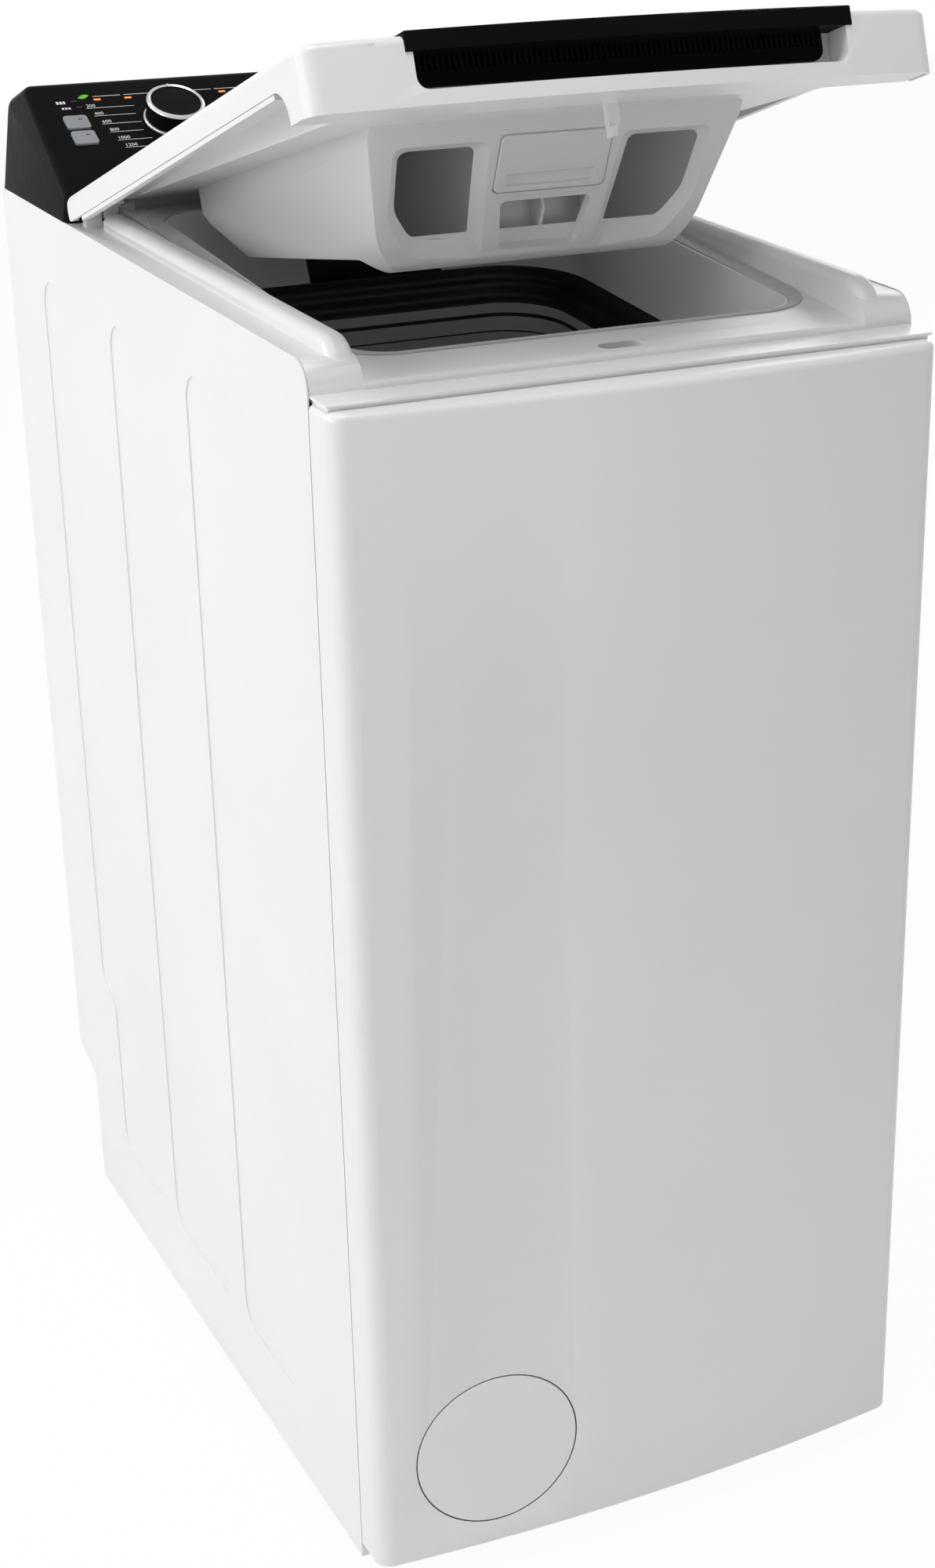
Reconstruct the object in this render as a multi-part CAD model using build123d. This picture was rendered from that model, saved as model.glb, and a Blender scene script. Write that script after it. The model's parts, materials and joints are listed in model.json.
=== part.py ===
from build123d import *

import os
from math import asin, atan2, cos, degrees, hypot, radians, sin, tan

# Cabinet: millimetres, +Z up, front towards -Y, origin on the floor under the middle of the cabinet
WIDTH = 400.0
DEPTH = 650.0
HEIGHT = 905.0
SHEET = 1.0
SIDE_BOTTOM = 11.0
SIDE_DROP = 77.0
SIDE_CORNER_RADIUS = 18.0
FLANGE_WIDTH = 16.0
PANEL_GAP = 0.8
FRONT_BOTTOM = 23.0
FRONT_DROP = 20.0
FRONT_WALL = 1.2
FRONT_BOW = 12.0
FRONT_WRAP = 32.0
FRONT_EDGE_RADIUS = 12.0
FRONT_TOP_RADIUS = 5.0
FRONT_LIP_GAP = 2.2
REAR_INSET = 2.0
RECESS_DEPTH = 39.0
RECESS_TOP = 107.0
RECESS_SLOPE = 13.0
RUNNING_FIT = 0.06
SEAT_GAP = 0.3
OVERCUT = 1.0
HALF = WIDTH / 2
FRONT = -DEPTH / 2
REAR = DEPTH / 2
SIDE_TOP = HEIGHT - SIDE_DROP
FRONT_TOP = SIDE_TOP - FRONT_DROP
CORNER_Y = FRONT + FRONT_BOW
WRAP_Y = CORNER_Y + FRONT_WRAP
SIDE_FRONT = WRAP_Y + PANEL_GAP
REAR_FACE = REAR - REAR_INSET
RECESS_FACE = REAR_FACE - RECESS_DEPTH
INNER_HALF = HALF - SHEET

# Pressed panels on the cabinet sides
EMBOSS_COUNT = 3
EMBOSS_FRONT_MARGIN = 89.2
EMBOSS_REAR_MARGIN = 86.0
EMBOSS_GAP = 29.0
EMBOSS_BOTTOM = 75.0
EMBOSS_TOP_MARGIN = 50.0
EMBOSS_RADIUS = 20.0
EMBOSS_LIP = 1.5
JOG_TOP = 221.0
JOG_DROP = 16.0
JOG_RADIUS = 7.0
REAR_JOG = 28.0
FRONT_JOG = 19.0
EMBOSS_FRONT = SIDE_FRONT + EMBOSS_FRONT_MARGIN
EMBOSS_REAR = REAR - EMBOSS_REAR_MARGIN
EMBOSS_PITCH = (EMBOSS_REAR - EMBOSS_FRONT + EMBOSS_GAP) / EMBOSS_COUNT
EMBOSS_WIDTH = EMBOSS_PITCH - EMBOSS_GAP
EMBOSS_TOP = SIDE_TOP - EMBOSS_TOP_MARGIN

# Base and feet
BASE_CLEAR = 1.0
BASE_WALL = 2.0
BASE_FLANGE = 25.0
FOOT_SIDE = 35.0
FOOT_END = 75.0
FOOT_RADIUS = 20.0
FOOT_PAD = 8.0
FOOT_STEM_RADIUS = 5.0
FOOT_STEM_RISE = 14.0
FOOT_BOSS_RADIUS = 12.0
FOOT_BOSS_RISE = 24.0
FOOT_X = HALF - FOOT_SIDE
FOOT_Y = DEPTH / 2 - FOOT_END
BASE_Z = SIDE_BOTTOM + BASE_CLEAR
BASE_FLOOR = BASE_Z + BASE_WALL
BASE_FRONT = SIDE_FRONT + SHEET
BASE_REAR = RECESS_FACE - SHEET
FOOT_BOSS_TOP = BASE_FLOOR + FOOT_BOSS_RISE
FOOT_STEM_TOP = FOOT_BOSS_TOP + FOOT_STEM_RISE

# Service cover and the filter and pump behind it
SERVICE_SIDE = 84.0
SERVICE_Z = 97.0
SERVICE_RADIUS = 56.2
SERVICE_GAP = 0.8
SERVICE_COVER_WALL = 2.0
SERVICE_SEAT_GAP = 0.3
SERVICE_LIP_WIDTH = 6.0
SERVICE_LIP_WALL = 1.5
SERVICE_SPIGOT_INSET = 9.2
SERVICE_SPIGOT_DEPTH = 9.0
FILTER_RADIUS = 26.0
FILTER_WALL = 4.0
FILTER_DEPTH = 120.0
FILTER_SETBACK = 22.0
CAP_LENGTH = 30.0
CAP_GRIP = 11.0
PUMP_RADIUS = 38.0
PUMP_SPIGOT = 45.0
PUMP_END = 34.0
HOSE_OFFSET_X = 11.0
DRAIN_RADIUS = 9.5
DRAIN_OFFSET_X = -24.0
DRAIN_DROP = 22.0
DRAIN_STICKOUT = 20.0
SERVICE_X = SERVICE_SIDE - HALF
SERVICE_SPIGOT_RADIUS = SERVICE_RADIUS - SERVICE_SPIGOT_INSET
FILTER_FRONT = CORNER_Y + FILTER_SETBACK
PUMP_SPIGOT_TOP = SERVICE_Z + PUMP_SPIGOT
DRAIN_Z = SERVICE_Z - DRAIN_DROP

# Water and power connections in the rear recess
INLET_SIDE = 65.0
INLET_Z = 72.0
INLET_RADIUS = 13.2
INLET_STICKOUT = 18.0
VALVE_SIZE = 40.0
FILL_HOSE_RADIUS = 8.0
FILL_HOSE_BACK = 11.0
FILL_HOSE_BORE = 6.0
GLAND_X = 60.0
GLAND_RADIUS = 9.0
GLAND_BORE = 4.0
GLAND_FLANGE = 13.0
SCREW_RADIUS = 2.0
SCREW_HEAD_RADIUS = 4.0
SCREW_HEAD = 1.8
SCREW_LENGTH = 6.0
SCREW_BOTTOM = 150.0
SCREW_TOP_MARGIN = 48.0
SCREW_ROWS = 4
INLET_X = HALF - INLET_SIDE
FILL_HOSE_Y = BASE_REAR - FILL_HOSE_BACK
SCREW_PITCH = (SIDE_TOP - SCREW_TOP_MARGIN - SCREW_BOTTOM) / (SCREW_ROWS - 1)

# Control panel; S is a distance down its slope from the ridge
PANEL_DEPTH = 157.0
PANEL_NOSE_RISE = 20.0
PANEL_RIDGE_BACK = 42.0
PANEL_REAR_DROP = 15.0
PANEL_WALL = 2.5
PANEL_DRAFT = 8.0
PANEL_NOSE_RADIUS = 9.0
PANEL_RIDGE_RADIUS = 12.0
PANEL_END_RADIUS = 7.0
BOARD_DEPTH = 14.0
BOARD_WALL = 1.6
BOARD_SIDE = 32.0
BOARD_TOP_S = 20.0
BOARD_BOTTOM_S = 84.0
POST_RADIUS = 4.0
POST_INSET = 8.0
POST_SIDE = 28.0
BUTTON_WIDTH = 17.2
BUTTON_HEIGHT = 15.2
BUTTON_RADIUS = 2.5
BUTTON_GAP = 0.35
BUTTON_PROUD = 1.6
BUTTON_FLANGE = 1.2
BUTTON_LIP = 1.0
BUTTON_TRAVEL = 1.5
OPTION_BUTTON_SIDE = 34.5
UPPER_BUTTON_S = 49.0
OPTION_BUTTON_SPACE = 3.2
START_BUTTON_SIDE = 40.0
DELAY_BUTTON_SIDE = 80.0
RIGHT_BUTTON_S = 58.0
KNOB_SIDE = 104.0
KNOB_S = 54.0
KNOB_RADIUS = 21.0
KNOB_HEIGHT = 17.5
KNOB_GAP = 0.6
KNOB_EDGE = 2.5
KNOB_NOTCH = 2.4
KNOB_SHAFT_RADIUS = 3.0
LENS_LENGTH = 5.0
LENS_WIDTH = 1.8
LENS_PROUD = 0.3
LENS_S = 22.6
LENS_SIDES = (57.4, 80.1, 128.0, 151.0)
PANEL_FRONT = REAR - PANEL_DEPTH
PANEL_NOSE_Z = SIDE_TOP + PANEL_NOSE_RISE
PANEL_RIDGE_Y = REAR - PANEL_RIDGE_BACK
PANEL_REAR_Z = HEIGHT - PANEL_REAR_DROP
BOARD_HALF_X = HALF - BOARD_SIDE
POST_X = BOARD_HALF_X - POST_SIDE
LOWER_BUTTON_S = UPPER_BUTTON_S + BUTTON_HEIGHT + OPTION_BUTTON_SPACE
KNOB_X = KNOB_SIDE - HALF
LENS_XS = [side - HALF for side in LENS_SIDES]
SLOPE_ANGLE = degrees(atan2(HEIGHT - PANEL_NOSE_Z, PANEL_RIDGE_Y - PANEL_FRONT))
SLOPE = Plane(
    origin=(0, PANEL_RIDGE_Y, HEIGHT),
    x_dir=(1, 0, 0),
    z_dir=(0, -sin(radians(SLOPE_ANGLE)), cos(radians(SLOPE_ANGLE))),
)

# Hinge of the lid
HINGE_SETBACK = 13.0
HINGE_RISE = 11.5
PIN_RADIUS = 4.0
KNUCKLE_SIDE = 32.0
KNUCKLE_WIDTH = 10.0
KNUCKLE_RADIUS = 7.5
HINGE_POST_WIDTH = 11.0
HINGE_POST_GAP = 1.5
HINGE_POST_HALF = 4.5
HINGE_NOTCH = 2.0
HINGE_Y = PANEL_FRONT - HINGE_SETBACK
HINGE_Z = SIDE_TOP + HINGE_RISE
KNUCKLE_X = HALF - KNUCKLE_SIDE

# Top frame: the rim of the loading well lies in a plane that falls towards the front
FRAME_CLEAR = 0.3
FRAME_FRONT_SETBACK = 20.0
LEDGE_RISE = 1.6
STEP_RISE = 6.0
STEP_SETBACK = 44.0
RAIL_DROP = 0.5
BEAD_SIDE = 17.0
BEAD_WIDTH = 17.0
BEAD_RISE = 10.0
BEAD_REAR_GAP = 12.0
BEAD_SETBACK = 60.0
BEAD_RUN = 14.0
BEAD_RADIUS = 7.0
BEAD_END_RADIUS = 22.0
RIM_ANGLE = 3.43
RIM_DROP = 1.0
RIM_PLATE = 6.0
RIM_SETBACK = 73.0
RIM_CORNER = 2.0
WELL_SETBACK = 93.0
WELL_REAR_GAP = 33.0
WELL_SIDE = 50.0
WELL_RADIUS = 28.0
WELL_DEPTH = 50.0
WELL_DRAW_X = 14.0
WELL_DRAW_Y = 28.0
WELL_FLOOR_SHIFT = 2.0
WELL_FLOOR_RADIUS = 58.0
WELL_WALL = 2.5
SPOUT_HALF_X = 50.0
SPOUT_HEIGHT = 20.0
SPOUT_DROP = 52.0
SEAL_WIDTH = 13.0
SEAL_FRONT_WIDTH = 5.0
SEAL_INSET = 1.5
SEAL_DEPTH = 2.5
SEAL_PROUD = 1.0
DECK_THICK = 6.0
SLOT_X = 5.0
SLOT_HALF_X = 15.0
SLOT_SETBACK = 53.0
SLOT_LENGTH = 14.0
SLOT_RADIUS = 6.5
LOCK_HALF_X = 30.0
LOCK_HEIGHT = 36.0
LOCK_CAVITY = 20.0
LOCK_WALL = 3.0
GASKET_HEIGHT = 25.0
GASKET_WALL = 7.0
FRAME_HALF = INNER_HALF - FRAME_CLEAR
FRAME_FRONT = FRONT + FRAME_FRONT_SETBACK
STEP_Y = FRONT + STEP_SETBACK
LEDGE_Z = FRONT_TOP + LEDGE_RISE
STEP_Z = FRONT_TOP + STEP_RISE
RAIL_Z = SIDE_TOP - RAIL_DROP
BEAD_OUTER = HALF - BEAD_SIDE
BEAD_INNER = BEAD_OUTER - BEAD_WIDTH
BEAD_TOP = SIDE_TOP + BEAD_RISE
BEAD_REAR = HINGE_Y - BEAD_REAR_GAP
BEAD_FRONT = FRONT + BEAD_SETBACK
BEAD_FOOT = BEAD_FRONT - BEAD_RUN
RIM_Z = SIDE_TOP - RIM_DROP
RIM_FRONT = FRONT + RIM_SETBACK
WELL_FRONT = FRONT + WELL_SETBACK
WELL_REAR = HINGE_Y - WELL_REAR_GAP
WELL_Y = (WELL_FRONT + WELL_REAR) / 2
WELL_HALF_Y = (WELL_REAR - WELL_FRONT) / 2
WELL_HALF_X = HALF - WELL_SIDE
WELL_FLOOR_HALF_X = WELL_HALF_X - WELL_DRAW_X
WELL_FLOOR_HALF_Y = WELL_HALF_Y - WELL_DRAW_Y
SLOT_FRONT = FRONT + SLOT_SETBACK
SLOT_REAR = SLOT_FRONT + SLOT_LENGTH
RIM = Plane(
    origin=(0, WELL_Y, RIM_Z),
    x_dir=(1, 0, 0),
    z_dir=(0, -sin(radians(RIM_ANGLE)), cos(radians(RIM_ANGLE))),
)

# Lid, drawn closed and then opened by LID_OPEN about the hinge
LID_OPEN = 18.7
LID_SIDE_GAP = 1.5
LID_RISE = 22.0
LID_WALL = 2.5
LID_END_RADIUS = 10.5
LID_HEEL_RADIUS = 4.0
LID_TOP_RADIUS = 5.0
LID_NOSE_GAP = 4.0
LID_NOSE_DEPTH = 39.0
LID_NOSE_RADIUS = 19.5
LID_SKIRT = 17.2
LINER_RIM_GAP = 0.3
LINER_RIM_HEIGHT = 3.0
LINER_WALL = 2.5
LINER_GAP = 3.0
LINER_CLEAR = 0.5
LINER_SIDE = 38.5
LINER_WING_DROP = 9.0
LINER_REAR_GAP = 19.0
LINER_STEP = 3.0
LINER_STEP_RISE = 5.5
HOOK_HALF_X = 4.0
HOOK_HALF_Y = 2.5
HOOK_REACH = 12.0
HOOK_BARB = 3.0
HOOK_TIP_WIDTH = 3.5
HOOK_TIP_RISE = 9.0
HANDLE_SIDE = 58.5
HANDLE_DROP = 9.0
HANDLE_RISE = 2.0
HANDLE_DEPTH = 27.0
HANDLE_PROUD = 1.0
HANDLE_GAP = 0.2
POCKET_INSET = 4.0
POCKET_FLOOR = 8.5
POCKET_RADIUS = 7.0
INSERT_INSET = 6.0
INSERT_FLOOR = 4.5
INSERT_WALL = 3.0
LID_HALF = HALF - LID_SIDE_GAP
LID_TOP = SIDE_TOP + LID_RISE
LID_NOSE_Z = FRONT_TOP + LID_NOSE_GAP
LID_NOSE_REAR = FRONT + LID_NOSE_DEPTH
SHELL_SKIRT_Z = LID_TOP - LID_SKIRT
LINER_RIM_Z = SHELL_SKIRT_Z - LINER_RIM_GAP - LINER_RIM_HEIGHT
LINER_HALF = LID_HALF - LINER_SIDE
LINER_WING_Z = LID_TOP - LINER_WING_DROP
LINER_REAR = HINGE_Y - LINER_REAR_GAP
LINER_STEP_Y = LID_NOSE_REAR + LINER_STEP
LINER_STEP_Z = LID_NOSE_Z + LINER_STEP_RISE
HOOK_Y = (SLOT_FRONT + SLOT_REAR) / 2
HOOK_TIP_Z = FRONT_TOP - HOOK_REACH
HANDLE_HALF = LID_HALF - HANDLE_SIDE
HANDLE_LIP_Z = LID_TOP - HANDLE_DROP
HANDLE_TOP = LID_TOP + HANDLE_RISE
HANDLE_REAR = FRONT + HANDLE_DEPTH
POCKET_HALF = HANDLE_HALF - POCKET_INSET
POCKET_FLOOR_Z = LID_NOSE_Z + POCKET_FLOOR
INSERT_HALF = POCKET_HALF - INSERT_INSET
INSERT_FLOOR_Z = POCKET_FLOOR_Z + INSERT_FLOOR
LID_POSE = Pos(0, HINGE_Y, HINGE_Z) * Rot(-LID_OPEN, 0, 0) * Pos(0, -HINGE_Y, -HINGE_Z)

# Dispenser, drawn with the lid closed; its mouths are points (x outwards, distance down the face)
TRAY_WALL = 2.2
TRAY_FACE_WALL = 6.0
TRAY_FACE_BACK = 26.0
TRAY_FACE_DROP = 13.0
TRAY_FACE_LENGTH = 98.0
TRAY_FACE_LEAN = 42.0
TRAY_FOOT_RADIUS = 12.0
TRAY_SIDE_GAP = 26.5
TRAY_SIDE_SLOPE = 0.281
TRAY_DEPTH = 74.0
TRAY_BOTTOM_RADIUS = 38.0
TRAY_BELLY_BACK = 86.0
TRAY_BELLY_RISE = 17.0
TRAY_HEEL = 54.0
TRAY_HEEL_RISE = 45.0
TRAY_REAR_GAP = 16.0
TRAY_REAR_RISE = 83.0
TRAY_FLOOR_SHARE = 1.2
PARTITION_X = 39.0
PARTITION_WALL = 2.0
SHELF_S = 46.3
SHELF_DEPTH = 70.0
RELEASE_TOP_S = 4.0
RELEASE_BOTTOM_S = 43.0
RELEASE_RADIUS = 4.0
RELEASE_GAP = 0.9
RELEASE_PROUD = 0.6
RELEASE_SCOOP = 8.0
MOUTH_INNER_TOP = 15.0
MOUTH_INNER_FOOT = 7.0
MOUTH_OUTER_TOP = 24.5
MOUTH_OUTER_BEND = 26.5
MOUTH_OUTER_FOOT = 2.0
MOUTH_TOP_S = 15.0
MOUTH_BEND_S = 54.0
MOUTH_OUTER_FOOT_S = 75.5
MOUTH_INNER_FOOT_S = 77.0
FUNNEL_INNER_TOP = 4.0
FUNNEL_INNER_FOOT = 3.0
FUNNEL_OUTER_TOP = 15.5
FUNNEL_OUTER_BEND = 18.5
FUNNEL_OUTER_FOOT = 4.75
FUNNEL_INNER_TOP_S = 5.0
FUNNEL_OUTER_TOP_S = 5.5
FUNNEL_BEND_S = 58.0
FUNNEL_OUTER_FOOT_S = 86.0
FUNNEL_INNER_FOOT_S = 90.0
CENTRE_TOP_SIDE = 8.0
CENTRE_FOOT_SIDE = 13.0
CENTRE_TOP_S = 49.5
CENTRE_FOOT_S = 84.0
INSERT_PLATE_X = 2.5
INSERT_PLATE_SETBACK = 14.0
INSERT_BACK = 9.0
INSERT_CLEAR = 0.25
TRAY_FACE_TOP_Y = WELL_FRONT + TRAY_FACE_BACK
TRAY_FACE_TOP_Z = RIM_Z - TRAY_FACE_DROP
TRAY_HALF_TOP = WELL_HALF_X - TRAY_SIDE_GAP
TRAY_BOTTOM_Z = TRAY_FACE_TOP_Z - TRAY_DEPTH
TRAY_BELLY_Y = TRAY_FACE_TOP_Y + TRAY_BELLY_BACK
TRAY_BELLY_Z = TRAY_BOTTOM_Z + TRAY_BELLY_RISE
TRAY_REAR_Y = WELL_REAR - TRAY_REAR_GAP
TRAY_REAR_Z = TRAY_BOTTOM_Z + TRAY_REAR_RISE
TRAY_HEEL_Y = TRAY_REAR_Y - TRAY_HEEL
TRAY_HEEL_Z = TRAY_BOTTOM_Z + TRAY_HEEL_RISE
RELEASE_HALF_X = PARTITION_X - PARTITION_WALL
TRAY_MIDDLE = (PARTITION_X + TRAY_HALF_TOP) / 2
MOUTH_POINTS = [
    (PARTITION_X + MOUTH_INNER_TOP, MOUTH_TOP_S),
    (TRAY_HALF_TOP - MOUTH_OUTER_TOP, MOUTH_TOP_S),
    (TRAY_HALF_TOP - MOUTH_OUTER_BEND, MOUTH_BEND_S),
    (TRAY_MIDDLE + MOUTH_OUTER_FOOT, MOUTH_OUTER_FOOT_S),
    (PARTITION_X + MOUTH_INNER_FOOT, MOUTH_INNER_FOOT_S),
]
MOUTH_RADII = [5.0, 6.0, 26.0, 16.0, 5.0]
FUNNEL_POINTS = [
    (PARTITION_X + FUNNEL_INNER_TOP, FUNNEL_INNER_TOP_S),
    (TRAY_HALF_TOP - FUNNEL_OUTER_TOP, FUNNEL_OUTER_TOP_S),
    (TRAY_HALF_TOP - FUNNEL_OUTER_BEND, FUNNEL_BEND_S),
    (TRAY_MIDDLE + FUNNEL_OUTER_FOOT, FUNNEL_OUTER_FOOT_S),
    (PARTITION_X - FUNNEL_INNER_FOOT, FUNNEL_INNER_FOOT_S),
]
FUNNEL_RADII = [6.0, 7.0, 30.0, 18.0, 6.0]
CENTRE_TOP_HALF = PARTITION_X - CENTRE_TOP_SIDE
CENTRE_FOOT_HALF = PARTITION_X - CENTRE_FOOT_SIDE
CENTRE_RADII = [4.0, 4.0, 5.0, 5.0]
FACE = Plane(
    origin=(0, TRAY_FACE_TOP_Y, TRAY_FACE_TOP_Z),
    x_dir=(1, 0, 0),
    z_dir=(0, -cos(radians(TRAY_FACE_LEAN)), -sin(radians(TRAY_FACE_LEAN))),
)

# Drum: as large as the depth and the height of the cabinet leave room for
DRUM_ENDS_ROOM = 162.0
DRUM_DROP = 113.0
DRUM_SHIFT = 35.0
SUMP_ROOM = 182.0
SUMP_DEPTH = 44.0
DRUM_SIDE = 72.0
DRUM_WALL = 1.2
DRUM_END_WALL = 1.5
DRUM_END_INSET = 0.5
DRUM_END_CLEAR = 0.2
DOOR_ANGLE = -5.0
DOOR_HALF_ANGLE = 28.0
DOOR_SIDE = 28.0
FLAP_GAP = 1.2
FLAP_WALL = 2.0
FLAP_STEPS = 2
FLAP_STEP_RISE = 1.2
FLAP_STEP_WIDTH = 11.0
FLAP_PIN_RADIUS = 2.0
FLAP_PIN_OUT = 4.5
FLAP_PIN_BACK = 4.5
FLAP_KNUCKLE_RADIUS = 3.5
FLAP_KNUCKLE_SIDE = 26.0
FLAP_KNUCKLE_WIDTH = 14.0
FLAP_LUG_WIDTH = 8.0
FLAP_LUG_GAP = 0.6
LATCH_HALF_X = 14.0
LATCH_LENGTH = 8.0
LATCH_TRAVEL = 5.0
LATCH_GAP = 0.5
LATCH_BACK = 8.0
LATCH_PROUD = 1.0
LIFTER_ANGLES = (115.0, 235.0)
LIFTER_HEIGHT = 45.0
LIFTER_FOOT = 60.0
LIFTER_CREST = 22.0
LIFTER_END_GAP = 0.5
SHAFT_RADIUS = 12.5
SHAFT_FLANGE_RADIUS = 45.0
SHAFT_FLANGE = 7.0
DRUM_RADIUS = min(DEPTH - DRUM_ENDS_ROOM, RIM_Z - DRUM_DROP - SUMP_DEPTH - SUMP_ROOM) / 2
DRUM_Y = WELL_Y + DRUM_SHIFT
DRUM_Z = RIM_Z - DRUM_DROP - DRUM_RADIUS
DRUM_HALF = HALF - DRUM_SIDE
DOOR_HALF_X = DRUM_HALF - DOOR_SIDE
FLAP_KNUCKLE_X = DOOR_HALF_X - FLAP_KNUCKLE_SIDE

# Tub and what hangs on it
TUB_GAP = 12.0
TUB_WALL = 5.0
TUB_SIDE = 50.0
TUB_END_WALL = 6.0
TUB_FLANGE_HEIGHT = 14.0
TUB_FLANGE_HALF = 4.0
BEARING_RADIUS = 26.0
BEARING_WIDTH = 14.0
BEARING_WALL = 8.0
NECK_DRAW_X = 12.0
NECK_DRAW_Y = 8.0
NECK_SHIFT = 1.0
NECK_RADIUS = 44.0
NECK_WALL = 6.0
NECK_DROP = 150.0
SUMP_SIDE = 18.0
SUMP_FRONT_REACH = 105.0
SUMP_REAR_REACH = 55.0
SUMP_WALL = 4.0
SPIGOT_RADIUS = 18.0
SPIGOT_LENGTH = 12.0
SPIGOT_SETBACK = 20.0
HOSE_BORE = 14.0
HOSE_RIB = 3.0
HOSE_RIBS = 3
HEATER_RADIUS = 4.0
HEATER_RISE = 18.0
HEATER_SETBACK = 63.0
HEATER_BEND = 22.0
HEATER_END_GAP = 52.0
TUB_BOLT_ANGLES = (75.0, 100.0, 125.0, 205.0, 282.0, 306.0)
TUB_BOLT_RADIUS = 3.0
TUB_BOLT_HEAD = 5.0
TUB_BOLT_HEAD_HEIGHT = 4.0
TUB_INNER = DRUM_RADIUS + TUB_GAP
TUB_RADIUS = TUB_INNER + TUB_WALL
TUB_HALF = HALF - TUB_SIDE
SHAFT_SEAT = TUB_HALF - TUB_END_WALL
NECK_HALF_X = WELL_FLOOR_HALF_X - NECK_DRAW_X
NECK_HALF_Y = WELL_FLOOR_HALF_Y - NECK_DRAW_Y
SUMP_HALF_X = TUB_HALF - SUMP_SIDE
SUMP_FRONT = DRUM_Y - SUMP_FRONT_REACH
SUMP_REAR = DRUM_Y + SUMP_REAR_REACH
SUMP_BOTTOM = DRUM_Z - DRUM_RADIUS - SUMP_DEPTH
HOSE_X = SERVICE_X + HOSE_OFFSET_X
HOSE_Y = SUMP_FRONT + SPIGOT_SETBACK
PUMP_REAR = HOSE_Y + PUMP_END
HEATER_Z = SUMP_BOTTOM + HEATER_RISE
HEATER_FRONT = SUMP_FRONT + HEATER_SETBACK
HEATER_REAR = HEATER_FRONT + 2 * HEATER_BEND
HEATER_REACH = HEATER_END_GAP - SUMP_HALF_X

# Drive
PULLEY_RADIUS = 140.0
PULLEY_GAP = 20.0
PULLEY_WIDTH = 12.0
PULLEY_RIM = 12.0
PULLEY_HUB = 30.0
PULLEY_WEB = 4.0
BELT_CLEAR = 0.35
BELT_WALL = 3.0
BELT_WIDTH = 10.0
MOTOR_INSET = 121.0
MOTOR_DROP = 59.0
MOTOR_RADIUS = 62.0
MOTOR_LEFT_GAP = 70.0
MOTOR_RIGHT_GAP = 75.0
MOTOR_PULLEY_RADIUS = 14.0
MOTOR_SHAFT_RADIUS = 6.0
MOTOR_SHAFT_DEPTH = 36.0
MOTOR_LUG_LEFT = 29.0
MOTOR_LUG_RIGHT = 19.0
MOTOR_LUG_WIDTH = 8.0
MOTOR_LUG_HALF_Y = 24.0
PULLEY_INNER = TUB_HALF + PULLEY_GAP
PULLEY_OUTER = PULLEY_INNER + PULLEY_WIDTH
MOTOR_Y = DRUM_Y + TUB_RADIUS - MOTOR_INSET
MOTOR_Z = DRUM_Z - TUB_RADIUS - MOTOR_DROP
MOTOR_LEFT = MOTOR_LEFT_GAP - TUB_HALF
MOTOR_RIGHT = TUB_HALF - MOTOR_RIGHT_GAP

# Counterweights: (front, rear, low, high) measured from the tub's rear top and front bottom
BALLAST_SIDE = 40.0
BALLAST_REAR = (-91.0, 21.0, -131.0, -17.0)
BALLAST_FRONT = (-3.0, 85.0, -4.0, 121.0)

# Suspension
DAMPER_RADIUS = 16.0
DAMPER_CLEAR = 0.1
DAMPER_ROD_RADIUS = 8.0
DAMPER_LENGTH = 126.0
DAMPER_FLOOR = 6.0
DAMPER_ROD_FOOT = 40.0
DAMPER_ROD_RISE = 26.0
DAMPER_SIDE = 95.0
DAMPER_FRONT_INSET = 111.0
DAMPER_REAR_INSET = 91.0
DAMPER_LUG = 14.0
SPRING_GAP = 20.0
SPRING_FRONT_SETBACK = 19.0
SPRING_REAR_SETBACK = 69.0
SPRING_RADIUS = 10.0
SPRING_WIRE = 3.0
SPRING_RISE = 90.0
SPRING_TOP_DROP = 106.0
SPRING_LUG = 14.0
SPRING_LUG_HALF = 11.0
BRACKET_HEIGHT = 8.0
BRACKET_HALF = 14.0
DAMPER_BORE = DAMPER_ROD_RADIUS + DAMPER_CLEAR
DAMPER_TOP = BASE_FLOOR + DAMPER_LENGTH
DAMPER_ROD_BOTTOM = BASE_FLOOR + DAMPER_FLOOR + DAMPER_ROD_FOOT
DAMPER_ROD_TOP = DRUM_Z - TUB_RADIUS + DAMPER_ROD_RISE
DAMPER_X = HALF - DAMPER_SIDE
DAMPER_FRONT = DRUM_Y - TUB_RADIUS + DAMPER_FRONT_INSET
DAMPER_REAR = DRUM_Y + TUB_RADIUS - DAMPER_REAR_INSET
DAMPER_PLACES = ((DAMPER_X, DAMPER_FRONT), (-DAMPER_X, DAMPER_REAR))
SPRING_X = TUB_HALF + SPRING_GAP
SPRING_FRONT = EMBOSS_FRONT - SPRING_FRONT_SETBACK
SPRING_REAR = EMBOSS_REAR - SPRING_REAR_SETBACK
SPRING_BOTTOM = DRUM_Z + SPRING_RISE
SPRING_TOP = SIDE_TOP - SPRING_TOP_DROP


def block(x, y, z):
    """Box between three (low, high) pairs."""
    sizes = [high - low for low, high in (x, y, z)]
    middles = [(high + low) / 2 for low, high in (x, y, z)]
    return Pos(*middles) * Box(*sizes)


def rod_x(radius, x, y, z):
    return Pos((x[0] + x[1]) / 2, y, z) * Rot(0, 90, 0) * Cylinder(radius, x[1] - x[0])


def rod_y(radius, y, x, z):
    return Pos(x, (y[0] + y[1]) / 2, z) * Rot(90, 0, 0) * Cylinder(radius, y[1] - y[0])


def rod_z(radius, z, x, y):
    return Pos(x, y, (z[0] + z[1]) / 2) * Cylinder(radius, z[1] - z[0])


def outline(points, radii):
    """Closed flat outline with its own radius at each corner."""
    return make_face(FilletPolyline(*points, radius=radii, close=True))


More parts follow.
